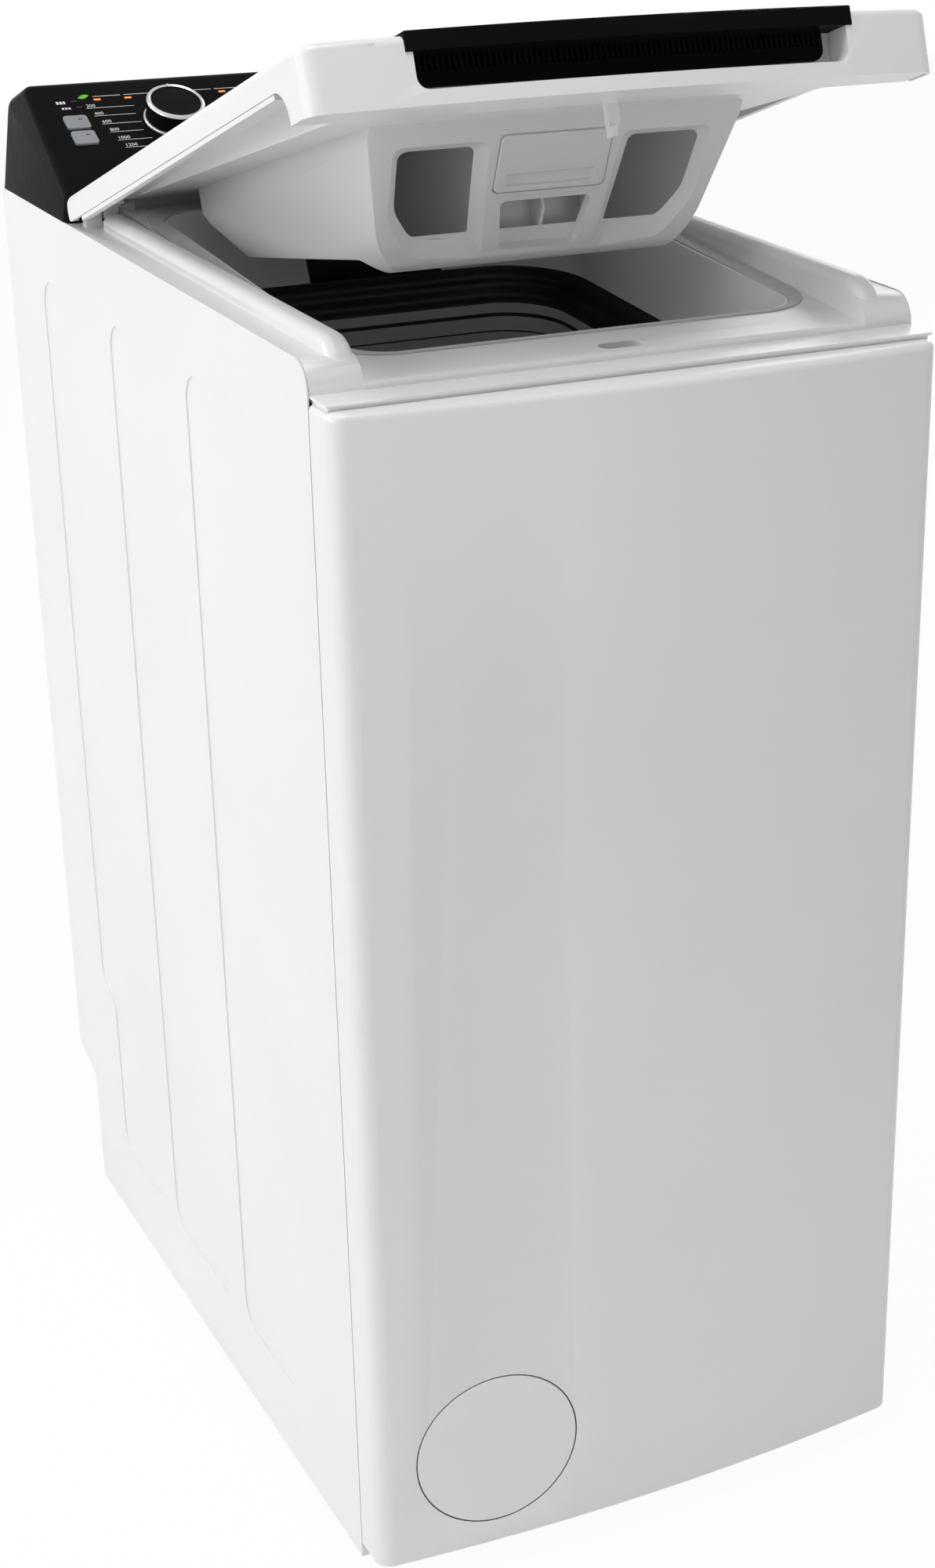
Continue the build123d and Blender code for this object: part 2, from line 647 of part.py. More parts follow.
def prism_x(sketch, x):
    """A (y, z) outline carried across X."""
    return Pos(x[0], 0, 0) * extrude(Plane.YZ * sketch, x[1] - x[0], dir=(1, 0, 0))


def prism_y(sketch, y):
    """A (x, z) outline carried along Y."""
    return Pos(0, y[0], 0) * extrude(Plane.XZ * sketch, y[1] - y[0], dir=(0, 1, 0))


def both_sides(part):
    """The piece and its mirror image across the middle of the cabinet."""
    return part + mirror(part, about=Plane.YZ)


def rim_z(y):
    """Height of the well's rim plane at a depth."""
    return RIM_Z + (y - WELL_Y) * tan(radians(RIM_ANGLE))


def drum_at(angle):
    """Frame on the drum axis whose +Z points out at an angle from the top, rearwards positive."""
    return Pos(0, DRUM_Y, DRUM_Z) * Rot(-angle, 0, 0)


def bowed_plan(half, corner_y, rear_y, edge_radius):
    """Plan with a straight back, straight sides and a front bowed outwards."""
    sides = Polyline((-half, corner_y), (-half, rear_y), (half, rear_y), (half, corner_y))
    front = ThreePointArc((half, corner_y), (0, corner_y - FRONT_BOW), (-half, corner_y))
    plan = make_face([sides, front])
    return fillet(plan.vertices().sort_by(Axis.Y)[:2], edge_radius)


def bowed_slab(inset, rear_y, z):
    plan = bowed_plan(HALF - inset, CORNER_Y + inset, rear_y, FRONT_EDGE_RADIUS - inset)
    return Pos(0, 0, z[0]) * extrude(plan, z[1] - z[0])


def round_top(part, rear_y, radius):
    """Round the front and side edges of a slab's top face."""
    top = part.edges().group_by(Axis.Z)[-1]
    return fillet([edge for edge in top if edge.center().Y < rear_y - radius], radius)


def emboss_outline(index):
    """Outline of one pressed panel, counted from the rear."""
    rear = EMBOSS_REAR - index * EMBOSS_PITCH
    front = rear - EMBOSS_WIDTH
    rear_jog = REAR_JOG if index == 0 else 0
    front_jog = FRONT_JOG if index == EMBOSS_COUNT - 1 else 0
    points = [(front, EMBOSS_TOP), (rear, EMBOSS_TOP)]
    radii = [EMBOSS_RADIUS, EMBOSS_RADIUS]
    if rear_jog:
        points += [(rear, JOG_TOP), (rear - rear_jog, JOG_TOP - JOG_DROP)]
        radii += [JOG_RADIUS, JOG_RADIUS]
    points += [(rear - rear_jog, EMBOSS_BOTTOM), (front + front_jog, EMBOSS_BOTTOM)]
    radii += [EMBOSS_RADIUS, EMBOSS_RADIUS]
    if front_jog:
        points += [(front + front_jog, JOG_TOP - JOG_DROP), (front, JOG_TOP)]
        radii += [JOG_RADIUS, JOG_RADIUS]
    return outline(points, radii)


def side_panel_left():
    recess_y = REAR - RECESS_DEPTH
    border = outline(
        [
            (SIDE_FRONT, SIDE_BOTTOM),
            (recess_y, SIDE_BOTTOM),
            (recess_y, RECESS_TOP),
            (REAR, RECESS_TOP + RECESS_SLOPE),
            (REAR, SIDE_TOP),
            (SIDE_FRONT, SIDE_TOP),
        ],
        [0, 0, JOG_RADIUS, JOG_RADIUS, 0, SIDE_CORNER_RADIUS],
    )
    sheet_x = (-HALF, -HALF + SHEET)
    panel = prism_x(border, sheet_x)
    for index in range(EMBOSS_COUNT):
        pressed = emboss_outline(index)
        panel -= prism_x(pressed, sheet_x)
        panel += prism_x(offset(pressed, EMBOSS_LIP), (sheet_x[1], sheet_x[1] + SHEET))
    flange_x = (-HALF, -HALF + FLANGE_WIDTH)
    panel += block(flange_x, (SIDE_FRONT, BASE_FRONT), (SIDE_BOTTOM, FRONT_TOP - SIDE_CORNER_RADIUS))
    rear_flange_y = (REAR_FACE - 2 * SHEET, REAR_FACE - SHEET)
    rear_flange_z = (RECESS_TOP + RECESS_SLOPE + FLANGE_WIDTH, SIDE_TOP - FLANGE_WIDTH)
    panel += block(flange_x, rear_flange_y, rear_flange_z)
    return panel - rear_screws(SCREW_RADIUS, 0)


def side_panel_right():
    return mirror(side_panel_left(), about=Plane.YZ)


def rear_screws(shank, head):
    """Screws along both edges of the rear panel, or their holes when they have no head."""
    x = INNER_HALF - FLANGE_WIDTH / 2
    solids = []
    for side in (-1, 1):
        for row in range(SCREW_ROWS):
            z = SCREW_BOTTOM + row * SCREW_PITCH
            screw = rod_y(shank, (REAR_FACE - SCREW_LENGTH, REAR_FACE), side * x, z)
            if head:
                screw += rod_y(head, (REAR_FACE, REAR_FACE + SCREW_HEAD), side * x, z)
            solids.append(screw)
    return Compound(children=solids) if head else solids


def front_panel():
    wall = FRONT_WALL
    top = FRONT_TOP - FRONT_LIP_GAP
    shell = round_top(bowed_slab(0, WRAP_Y, (FRONT_BOTTOM, top)), WRAP_Y, FRONT_TOP_RADIUS)
    hollow_z = (FRONT_BOTTOM + wall, top - wall)
    hollow_rear = WRAP_Y + wall
    hollow = round_top(bowed_slab(wall, hollow_rear, hollow_z), hollow_rear, FRONT_TOP_RADIUS - wall)
    shell -= hollow
    opening = SERVICE_RADIUS + SERVICE_GAP
    seat = SERVICE_COVER_WALL + SERVICE_SEAT_GAP
    rear = seat + SERVICE_LIP_WALL
    span = (FRONT, WRAP_Y)
    z = (FRONT_BOTTOM, FRONT_TOP)
    hole = rod_y(opening, span, SERVICE_X, SERVICE_Z)
    collar = rod_y(opening + SERVICE_LIP_WALL, span, SERVICE_X, SERVICE_Z) - hole
    shell = shell - hole + (collar & (bowed_slab(0, WRAP_Y, z) - bowed_slab(rear, WRAP_Y, z)))
    lip = rod_y(opening + SERVICE_LIP_WALL, span, SERVICE_X, SERVICE_Z)
    lip -= rod_y(opening - SERVICE_LIP_WIDTH, span, SERVICE_X, SERVICE_Z)
    return shell + (lip & (bowed_slab(seat, WRAP_Y, z) - bowed_slab(rear, WRAP_Y, z)))


def service_cover():
    z = (FRONT_BOTTOM, FRONT_TOP)
    skin = bowed_slab(0, WRAP_Y, z) - bowed_slab(SERVICE_COVER_WALL, WRAP_Y, z)
    cover = skin & rod_y(SERVICE_RADIUS, (FRONT, WRAP_Y), SERVICE_X, SERVICE_Z)
    spigot = rod_y(SERVICE_SPIGOT_RADIUS, (FRONT, WRAP_Y), SERVICE_X, SERVICE_Z)
    spigot -= rod_y(SERVICE_SPIGOT_RADIUS - SERVICE_COVER_WALL, (FRONT, WRAP_Y), SERVICE_X, SERVICE_Z)
    return cover + (spigot & (bowed_slab(0, WRAP_Y, z) - bowed_slab(SERVICE_SPIGOT_DEPTH, WRAP_Y, z)))


def rear_panel():
    top = RECESS_TOP + RECESS_SLOPE
    border = outline(
        [
            (REAR_FACE, SIDE_TOP),
            (REAR_FACE, top),
            (RECESS_FACE, RECESS_TOP),
            (RECESS_FACE, SIDE_BOTTOM),
            (RECESS_FACE - SHEET, SIDE_BOTTOM),
            (RECESS_FACE - SHEET, RECESS_TOP + SHEET),
            (REAR_FACE - SHEET, top + SHEET),
            (REAR_FACE - SHEET, SIDE_TOP),
        ],
        [0] * 8,
    )
    panel = prism_x(border, (-INNER_HALF, INNER_HALF))
    span = (RECESS_FACE - 2 * SHEET, RECESS_FACE + SHEET)
    panel -= rod_y(INLET_RADIUS + SEAT_GAP, span, INLET_X, INLET_Z)
    panel -= rod_y(DRAIN_RADIUS + SEAT_GAP, span, SERVICE_X + DRAIN_OFFSET_X, DRAIN_Z)
    panel -= rod_y(GLAND_RADIUS + SEAT_GAP, span, GLAND_X, INLET_Z)
    return panel - rear_screws(SCREW_RADIUS, 0)


def cabinet_screws():
    return rear_screws(SCREW_RADIUS - RUNNING_FIT, SCREW_HEAD_RADIUS)


def base_pan():
    top = BASE_FLOOR + BASE_FLANGE
    pan = block((-INNER_HALF, INNER_HALF), (BASE_FRONT, BASE_REAR), (BASE_Z, top))
    inner_half = INNER_HALF - BASE_WALL
    inner_y = (BASE_FRONT + BASE_WALL, BASE_REAR - BASE_WALL)
    pan -= block((-inner_half, inner_half), inner_y, (BASE_FLOOR, top))
    for x in (-FOOT_X, FOOT_X):
        for y in (-FOOT_Y, FOOT_Y):
            pan += rod_z(FOOT_BOSS_RADIUS, (BASE_Z, FOOT_BOSS_TOP), x, y)
            pan -= rod_z(FOOT_STEM_RADIUS + RUNNING_FIT, (BASE_Z, FOOT_BOSS_TOP), x, y)
    return pan


def foot(x, y, pad_top, stem_top):
    pad = rod_z(FOOT_RADIUS, (0, pad_top), x, y)
    pad = fillet(pad.edges().group_by(Axis.Z)[-1], BASE_WALL)
    return pad + rod_z(FOOT_STEM_RADIUS, (pad_top, stem_top), x, y)


def foot_front_left():
    return foot(-FOOT_X, -FOOT_Y, FOOT_PAD, FOOT_STEM_TOP)


def foot_front_right():
    return foot(FOOT_X, -FOOT_Y, FOOT_PAD, FOOT_STEM_TOP)


def rear_feet():
    return Compound(children=[foot(x, FOOT_Y, BASE_Z, FOOT_BOSS_TOP) for x in (-FOOT_X, FOOT_X)])


def rim_outline(depth, half_x, half_y, shift, radius):
    """Rounded rectangle on a plane parallel to the well's rim."""
    return RIM.offset(-depth) * (Pos(0, shift) * RectangleRounded(2 * half_x, 2 * half_y, radius))


def rim_prism(depth, height, half_x, half_y, shift, radius):
    """Rounded block standing up from a plane parallel to the rim."""
    return extrude(rim_outline(depth, half_x, half_y, shift, radius), height, dir=RIM.z_dir)


def well_loft(grow):
    rim = rim_outline(0, WELL_HALF_X + grow, WELL_HALF_Y + grow, 0, WELL_RADIUS + grow)
    floor = rim_outline(
        WELL_DEPTH,
        WELL_FLOOR_HALF_X + grow,
        WELL_FLOOR_HALF_Y + grow,
        WELL_FLOOR_SHIFT,
        WELL_FLOOR_RADIUS + grow,
    )
    return loft([floor, rim])


def seal_ring(depth, height, trim):
    """Ring round the mouth of the well, narrow at the front; trim takes the same off each edge."""
    outer = SEAL_INSET + SEAL_WIDTH - trim
    inner = SEAL_INSET + trim
    shift = (SEAL_WIDTH - SEAL_FRONT_WIDTH) / 2
    half_y = WELL_HALF_Y + outer - shift
    ring = rim_prism(depth, height, WELL_HALF_X + outer, half_y, shift, WELL_RADIUS + outer)
    return ring - rim_prism(depth, height, WELL_HALF_X + inner, WELL_HALF_Y + inner, 0, WELL_RADIUS + inner)


def hinge_posts():
    """Posts on the frame that carry the lid's pins, two beside each knuckle."""
    z = (RAIL_Z - DECK_THICK, HINGE_Z)
    y = (HINGE_Y - HINGE_POST_HALF, HINGE_Y + HINGE_POST_HALF)
    posts = Part()
    for inner in hinge_post_starts():
        x = (inner, inner + HINGE_POST_WIDTH)
        posts += block(x, y, z) + rod_x(HINGE_POST_HALF, x, HINGE_Y, HINGE_Z)
        posts -= rod_x(PIN_RADIUS, x, HINGE_Y, HINGE_Z)
    return both_sides(posts)


def hinge_post_starts():
    return (KNUCKLE_X - HINGE_POST_GAP - HINGE_POST_WIDTH, KNUCKLE_X + KNUCKLE_WIDTH + HINGE_POST_GAP)


def top_frame():
    rail = outline(
        [
            (FRAME_FRONT, FRONT_TOP),
            (FRAME_FRONT, LEDGE_Z),
            (SIDE_FRONT, LEDGE_Z),
            (SIDE_FRONT, RAIL_Z),
            (REAR_FACE - SHEET, RAIL_Z),
            (REAR_FACE - SHEET, RAIL_Z - DECK_THICK),
            (PANEL_FRONT, RAIL_Z - DECK_THICK),
            (PANEL_FRONT, FRONT_TOP),
        ],
        [0, LEDGE_RISE / 2, 0, RAIL_Z - LEDGE_Z - LEDGE_RISE, 0, 0, 0, 0],
    )
    bead = outline(
        [
            (BEAD_FOOT, STEP_Z - STEP_RISE),
            (BEAD_FOOT, STEP_Z),
            (BEAD_FRONT, BEAD_TOP),
            (BEAD_REAR, BEAD_TOP),
            (BEAD_REAR, STEP_Z - STEP_RISE),
        ],
        [0, BEAD_RADIUS, BEAD_END_RADIUS, BEAD_RADIUS, 0],
    )
    rear_y = PANEL_FRONT - DECK_THICK
    plate = outline(
        [
            (STEP_Y, FRONT_TOP),
            (STEP_Y, STEP_Z),
            (RIM_FRONT - STEP_RISE, STEP_Z),
            (RIM_FRONT, rim_z(RIM_FRONT)),
            (BEAD_REAR, rim_z(BEAD_REAR)),
            (BEAD_REAR, RAIL_Z),
            (rear_y, RAIL_Z),
            (rear_y, RAIL_Z - DECK_THICK),
            (BEAD_REAR - DECK_THICK, RAIL_Z - DECK_THICK),
            (RIM_FRONT, rim_z(RIM_FRONT) - RIM_PLATE),
            (RIM_FRONT, FRONT_TOP),
        ],
        [0, STEP_RISE / 2, 0, 0, RIM_CORNER, 0, 0, 0, 0, 0, 0],
    )
    side = prism_x(rail, (BEAD_INNER, FRAME_HALF))
    ridge = prism_x(bead, (BEAD_INNER, BEAD_OUTER))
    crest = [edge for edge in ridge.edges().filter_by(Axis.Y) if edge.center().Z > STEP_Z]
    frame = both_sides(side + fillet(crest, BEAD_RADIUS))
    frame += prism_x(plate, (-BEAD_INNER, BEAD_INNER))
    frame += block((-BEAD_INNER, BEAD_INNER), (FRAME_FRONT, STEP_Y), (FRONT_TOP, LEDGE_Z))
    deck_y = (rear_y, REAR_FACE - SHEET)
    frame += block((-BEAD_INNER, BEAD_INNER), deck_y, (RAIL_Z - DECK_THICK, RAIL_Z))
    frame += well_loft(WELL_WALL)
    frame -= well_loft(0)
    mouth = WELL_HALF_X, WELL_HALF_Y, 0, WELL_RADIUS
    frame -= rim_prism(0, WELL_DEPTH, *mouth)
    frame -= seal_ring(SEAL_DEPTH, WELL_DEPTH, 0)
    slot = RectangleRounded(2 * SLOT_HALF_X, SLOT_LENGTH, SLOT_RADIUS)
    slot = Pos(SLOT_X, (SLOT_FRONT + SLOT_REAR) / 2, FRONT_TOP) * slot
    frame -= extrude(slot, STEP_RISE, dir=(0, 0, 1))
    spout_z = rim_z(WELL_Y + WELL_HALF_Y) - SPOUT_DROP
    spout = block((-SPOUT_HALF_X, SPOUT_HALF_X), (WELL_Y, rear_y), (spout_z, spout_z + SPOUT_HEIGHT))
    return frame - spout + hinge_posts()


def rim_seal():
    return seal_ring(SEAL_DEPTH, SEAL_DEPTH + SEAL_PROUD, SEAT_GAP)


def lid_hinge_pins():
    low, high = hinge_post_starts()
    right = rod_x(PIN_RADIUS - RUNNING_FIT, (low, high + HINGE_POST_WIDTH), HINGE_Y, HINGE_Z)
    return Compound(children=[right, mirror(right, about=Plane.YZ)])


def lid_lock():
    y = (SIDE_FRONT + SHEET, RIM_FRONT)
    x = (SLOT_X - LOCK_HALF_X, SLOT_X + LOCK_HALF_X)
    housing = block(x, y, (FRONT_TOP - LOCK_HEIGHT, FRONT_TOP))
    cavity_x = (SLOT_X - SLOT_HALF_X, SLOT_X + SLOT_HALF_X)
    cavity_y = (y[0] + LOCK_WALL, y[1] - LOCK_WALL)
    return housing - block(cavity_x, cavity_y, (FRONT_TOP - LOCK_CAVITY, FRONT_TOP))


def door_gasket():
    def funnel(grow):
        top = rim_outline(
            WELL_DEPTH,
            WELL_FLOOR_HALF_X + grow,
            WELL_FLOOR_HALF_Y + grow,
            WELL_FLOOR_SHIFT,
            WELL_FLOOR_RADIUS + grow,
        )
        foot_outline = rim_outline(
            WELL_DEPTH + GASKET_HEIGHT,
            NECK_HALF_X + grow,
            NECK_HALF_Y + grow,
            NECK_SHIFT,
            NECK_RADIUS + grow,
        )
        return loft([foot_outline, top])

    return funnel(GASKET_WALL) - funnel(0)


def control_panel():
    def housing(inset):
        profile = outline(
            [
                (PANEL_FRONT, SIDE_TOP),
                (PANEL_FRONT, PANEL_NOSE_Z),
                (PANEL_RIDGE_Y, HEIGHT),
                (REAR, PANEL_REAR_Z),
                (REAR, SIDE_TOP),
            ],
            [0, PANEL_NOSE_RADIUS, PANEL_RIDGE_RADIUS, PANEL_RIDGE_RADIUS, 0],
        )
        if inset:
            profile = offset(profile, -inset)
        solid = prism_x(profile, (-HALF, HALF))
        reach = HEIGHT - SIDE_TOP
        cutter = block((0, HALF), (0, DEPTH), (-reach, 2 * reach))
        cutter = Pos(HALF - inset, 0, SIDE_TOP) * Rot(0, -PANEL_DRAFT, 0) * cutter
        return solid - cutter - mirror(cutter, about=Plane.YZ)

    outer = housing(0)
    ends = outer.faces().sort_by(Axis.X)
    rims = [edge for face in (ends[0], ends[-1]) for edge in face.edges()]
    outer = fillet([edge for edge in rims if edge.center().Z > SIDE_TOP + PANEL_WALL], PANEL_END_RADIUS)
    shell = outer - housing(PANEL_WALL)
    floor_half = INNER_HALF - 4 * PANEL_WALL
    floor_y = (PANEL_FRONT + 3 * PANEL_WALL, REAR - 3 * PANEL_WALL)
    shell -= block((-floor_half, floor_half), floor_y, (SIDE_TOP, SIDE_TOP + 2 * PANEL_WALL))
    post_s = (BOARD_TOP_S + POST_INSET, BOARD_BOTTOM_S - POST_INSET)
    for x in (-POST_X, POST_X):
        for s in post_s:
            shell += on_slope(Circle(POST_RADIUS), x, s, (-BOARD_DEPTH, -OVERCUT))
    cut = (-2 * PANEL_WALL, OVERCUT)
    for x, s in button_places().values():
        shell -= on_slope(RectangleRounded(*button_size(BUTTON_GAP), BUTTON_RADIUS), x, s, cut)
    shell -= on_slope(Circle(KNOB_SHAFT_RADIUS + RUNNING_FIT), KNOB_X, KNOB_S, cut)
    for x in LENS_XS:
        shell -= on_slope(Rectangle(LENS_LENGTH, LENS_WIDTH), x, LENS_S, cut)
    return shell


def on_slope(sketch, x, s, heights):
    """A flat shape on the control panel's slope, carried between two heights above it."""
    low, high = heights
    return extrude(SLOPE.offset(low) * (Pos(x, -s) * sketch), high - low, dir=SLOPE.z_dir)


def button_places():
    return {
        "option_button_upper": (OPTION_BUTTON_SIDE - HALF, UPPER_BUTTON_S),
        "option_button_lower": (OPTION_BUTTON_SIDE - HALF, LOWER_BUTTON_S),
        "delay_button": (HALF - DELAY_BUTTON_SIDE, RIGHT_BUTTON_S),
        "start_button": (HALF - START_BUTTON_SIDE, RIGHT_BUTTON_S),
    }


def button_size(grow):
    return BUTTON_WIDTH + 2 * grow, BUTTON_HEIGHT + 2 * grow


def push_button(name):
    x, s = button_places()[name]
    flange_top = -PANEL_WALL - SEAT_GAP
    flange_bottom = flange_top - BUTTON_FLANGE
    tip = -BOARD_DEPTH + BUTTON_TRAVEL + SEAT_GAP
    cap = on_slope(RectangleRounded(*button_size(0), BUTTON_RADIUS), x, s, (flange_bottom, BUTTON_PROUD))
    top = cap.faces().sort_by(Axis(SLOPE.origin, SLOPE.z_dir))[-1]
    cap = fillet(top.edges(), BUTTON_PROUD / 3)
    flange = RectangleRounded(*button_size(BUTTON_LIP), BUTTON_RADIUS)
    cap += on_slope(flange, x, s, (flange_bottom, flange_top))
    return cap + on_slope(Circle(BUTTON_RADIUS), x, s, (tip, flange_bottom))


def program_knob():
    barrel = on_slope(Circle(KNOB_RADIUS), KNOB_X, KNOB_S, (KNOB_GAP, KNOB_HEIGHT))
    top = barrel.faces().sort_by(Axis(SLOPE.origin, SLOPE.z_dir))[-1]
    barrel = fillet(top.edges(), KNOB_EDGE)
    notch = Pos(0, KNOB_RADIUS) * Circle(KNOB_NOTCH)
    barrel -= on_slope(notch, KNOB_X, KNOB_S, (KNOB_HEIGHT - KNOB_EDGE, KNOB_HEIGHT))
    tip = -BOARD_DEPTH + SEAT_GAP
    return barrel + on_slope(Circle(KNOB_SHAFT_RADIUS), KNOB_X, KNOB_S, (tip, KNOB_GAP))


def indicator_lenses():
    span = (-PANEL_WALL, LENS_PROUD)
    return Compound(children=[on_slope(Rectangle(LENS_LENGTH, LENS_WIDTH), x, LENS_S, span) for x in LENS_XS])


def control_board():
    middle = (BOARD_TOP_S + BOARD_BOTTOM_S) / 2
    plate = Rectangle(2 * BOARD_HALF_X, BOARD_BOTTOM_S - BOARD_TOP_S)
    return on_slope(plate, 0, middle, (-BOARD_DEPTH - BOARD_WALL, -BOARD_DEPTH))


def lid_plan(inset, rear_y):
    return bowed_plan(LID_HALF - inset, CORNER_Y + inset, rear_y, FRONT_EDGE_RADIUS - inset)


def lid_body(inset, skirt_z, nose_z, top_z, top_radius):
    """Closed lid envelope: thin at the rear, with a deeper nose at the front."""
    rear = HINGE_Y + LID_END_RADIUS - inset
    drop = LID_NOSE_REAR + inset
    profile = outline(
        [
            (FRONT - inset, nose_z),
            (drop, nose_z),
            (drop, skirt_z),
            (rear, skirt_z),
            (rear, top_z),
            (FRONT - inset, top_z),
        ],
        [0, 0, LID_NOSE_RADIUS, LID_HEEL_RADIUS - inset, LID_END_RADIUS - inset, 0],
    )
    height = top_z - nose_z + SHEET
    slab = Pos(0, 0, top_z - height) * extrude(lid_plan(inset, rear + SHEET), height)
    slab = round_top(slab, rear + SHEET, top_radius)
    return slab & prism_x(profile, (-HALF, HALF))


def lid_shell():
    drop = LID_TOP - LID_NOSE_Z
    outer = lid_body(0, SHELL_SKIRT_Z, LID_NOSE_Z, LID_TOP, LID_TOP_RADIUS)
    wall = LID_WALL
    hollow = lid_body(wall, SHELL_SKIRT_Z - drop, LID_NOSE_Z - drop, LID_TOP - wall, LID_TOP_RADIUS - wall)
    shell = outer - hollow
    surround_y = (FRONT, HANDLE_REAR + wall)
    surround_half = POCKET_HALF + wall
    surround_z = (POCKET_FLOOR_Z - wall, LID_TOP - wall)
    surround = block((-surround_half, surround_half), surround_y, surround_z)
    skin = wall / 2
    shell += surround & lid_body(skin, SHELL_SKIRT_Z, LID_NOSE_Z, LID_TOP - skin, LID_TOP_RADIUS - skin)
    pocket = outline(
        [
            (-POCKET_HALF, POCKET_FLOOR_Z),
            (POCKET_HALF, POCKET_FLOOR_Z),
            (POCKET_HALF, LID_TOP),
            (-POCKET_HALF, LID_TOP),
        ],
        [POCKET_RADIUS, POCKET_RADIUS, 0, 0],
    )
    shell -= prism_y(pocket, (FRONT - wall, HANDLE_REAR))
    lip_x = HANDLE_HALF + HANDLE_GAP
    lip_y = (FRONT - wall, HANDLE_REAR + HANDLE_GAP)
    shell -= block((-lip_x, lip_x), lip_y, (HANDLE_LIP_Z - HANDLE_GAP, LID_TOP + wall))
    low, high = hinge_post_starts()
    notch_x = (low - HINGE_NOTCH, high + HINGE_POST_WIDTH + HINGE_NOTCH)
    notch_z = (LINER_RIM_Z, LID_TOP - wall - HINGE_NOTCH)
    notch = block(notch_x, (LINER_REAR, HINGE_Y + 2 * LID_END_RADIUS), notch_z)
    return LID_POSE * (shell - both_sides(notch))


def lid_handle():
    front = CORNER_Y - HANDLE_PROUD
    plan = bowed_plan(HALF, front, HANDLE_REAR, FRONT_EDGE_RADIUS)
    lip = Pos(0, 0, HANDLE_LIP_Z) * extrude(plan, HANDLE_TOP - HANDLE_LIP_Z)
    lip_y = (FRONT - 2 * HANDLE_PROUD, HANDLE_REAR)
    lip &= block((-HANDLE_HALF, HANDLE_HALF), lip_y, (HANDLE_LIP_Z, HANDLE_TOP))
    top_edge = [edge for edge in lip.edges().group_by(Axis.Z)[-1] if edge.center().Y < HANDLE_REAR - LID_WALL]
    lip = fillet(top_edge, HANDLE_PROUD)
    insert = outline(
        [
            (-INSERT_HALF, INSERT_FLOOR_Z),
            (INSERT_HALF, INSERT_FLOOR_Z),
            (INSERT_HALF, HANDLE_LIP_Z),
            (-INSERT_HALF, HANDLE_LIP_Z),
        ],
        [POCKET_RADIUS, POCKET_RADIUS, 0, 0],
    )
    return LID_POSE * (lip + prism_y(insert, (HANDLE_REAR - INSERT_WALL, HANDLE_REAR)))


def liner_body(inset):
    """Envelope of the lid's inner liner; the inset one is its open inside."""
    top = LID_TOP - LID_WALL - 3 * LINER_CLEAR + (LID_WALL if inset else 0)
    gap = LINER_GAP + inset
    nose_front = CORNER_Y + LID_WALL + LINER_CLEAR + inset
    half = LID_HALF - LID_WALL - LINER_CLEAR - inset
    rear = LINER_REAR - inset
    pan = outline(
        [
            (LINER_STEP_Y + inset, LINER_STEP_Z + inset),
            (RIM_FRONT, rim_z(RIM_FRONT) + gap),
            (rear, rim_z(rear) + gap),
            (rear, top),
            (LINER_STEP_Y + inset, top),
        ],
        [0] * 5,
    )
    body = prism_x(pan, (-LINER_HALF + inset, LINER_HALF - inset))
    body += block((-half, half), (LINER_STEP_Y, rear), (LINER_WING_Z + inset, top))
    nose_z = LID_NOSE_Z + LINER_CLEAR + inset
    nose_rear = LINER_STEP_Y + (LINER_CLEAR if inset else 0)
    plan = bowed_plan(half, nose_front, nose_rear, FRONT_EDGE_RADIUS - LID_WALL - inset)
    nose = Pos(0, 0, nose_z) * extrude(plan, top - nose_z)
    return body + nose


def lid_liner():
    liner = liner_body(0) - liner_body(LINER_WALL)
    rim_x = (LID_HALF - LID_WALL - LINER_CLEAR - LINER_WALL, LID_HALF - LINER_CLEAR / 2)
    rim_y = (LID_NOSE_REAR + LID_NOSE_RADIUS, LINER_REAR)
    rim = block(rim_x, rim_y, (LINER_RIM_Z, LINER_RIM_Z + LINER_RIM_HEIGHT))
    rim += block((rim_x[0], rim_x[0] + LINER_WALL), rim_y, (LINER_RIM_Z, LINER_WING_Z + LINER_WALL))
    knuckle_x = (KNUCKLE_X, KNUCKLE_X + KNUCKLE_WIDTH)
    knuckle = rod_x(KNUCKLE_RADIUS, knuckle_x, HINGE_Y, HINGE_Z)
    web_z = (LINER_WING_Z - LINER_WALL, LINER_WING_Z + LINER_WALL)
    knuckle += block(knuckle_x, (LINER_REAR - LINER_WALL, HINGE_Y), web_z)
    knuckle -= rod_x(PIN_RADIUS, knuckle_x, HINGE_Y, HINGE_Z)
    liner += both_sides(rim + knuckle)
    hook_y = (HOOK_Y - HOOK_HALF_Y, HOOK_Y + HOOK_HALF_Y)
    hook_x = (SLOT_X - HOOK_HALF_X, SLOT_X + HOOK_HALF_X)
    hook_top = LINER_STEP_Z + LINER_WALL
    tip_x = (hook_x[0], hook_x[0] + HOOK_TIP_WIDTH)
    hook = outline(
        [
            (tip_x[0], HOOK_TIP_Z),
            (tip_x[1], HOOK_TIP_Z),
            (hook_x[1], HOOK_TIP_Z + HOOK_TIP_RISE),
            (hook_x[1], hook_top),
            (hook_x[0], hook_top),
        ],
        [0, 0, HOOK_TIP_WIDTH, 0, 0],
    )
    liner += prism_y(hook, hook_y)
    barb = (hook_y[0] - HOOK_BARB, hook_y[0])
    liner += block(tip_x, barb, (HOOK_TIP_Z, HOOK_TIP_Z + 2 * HOOK_BARB))
    handle_half = HANDLE_HALF + LID_WALL
    handle_y = (FRONT, HANDLE_REAR + 2 * LID_WALL)
    handle_z = (POCKET_FLOOR_Z - 2 * LID_WALL, LID_TOP)
    return LID_POSE * (liner - block((-handle_half, handle_half), handle_y, handle_z))


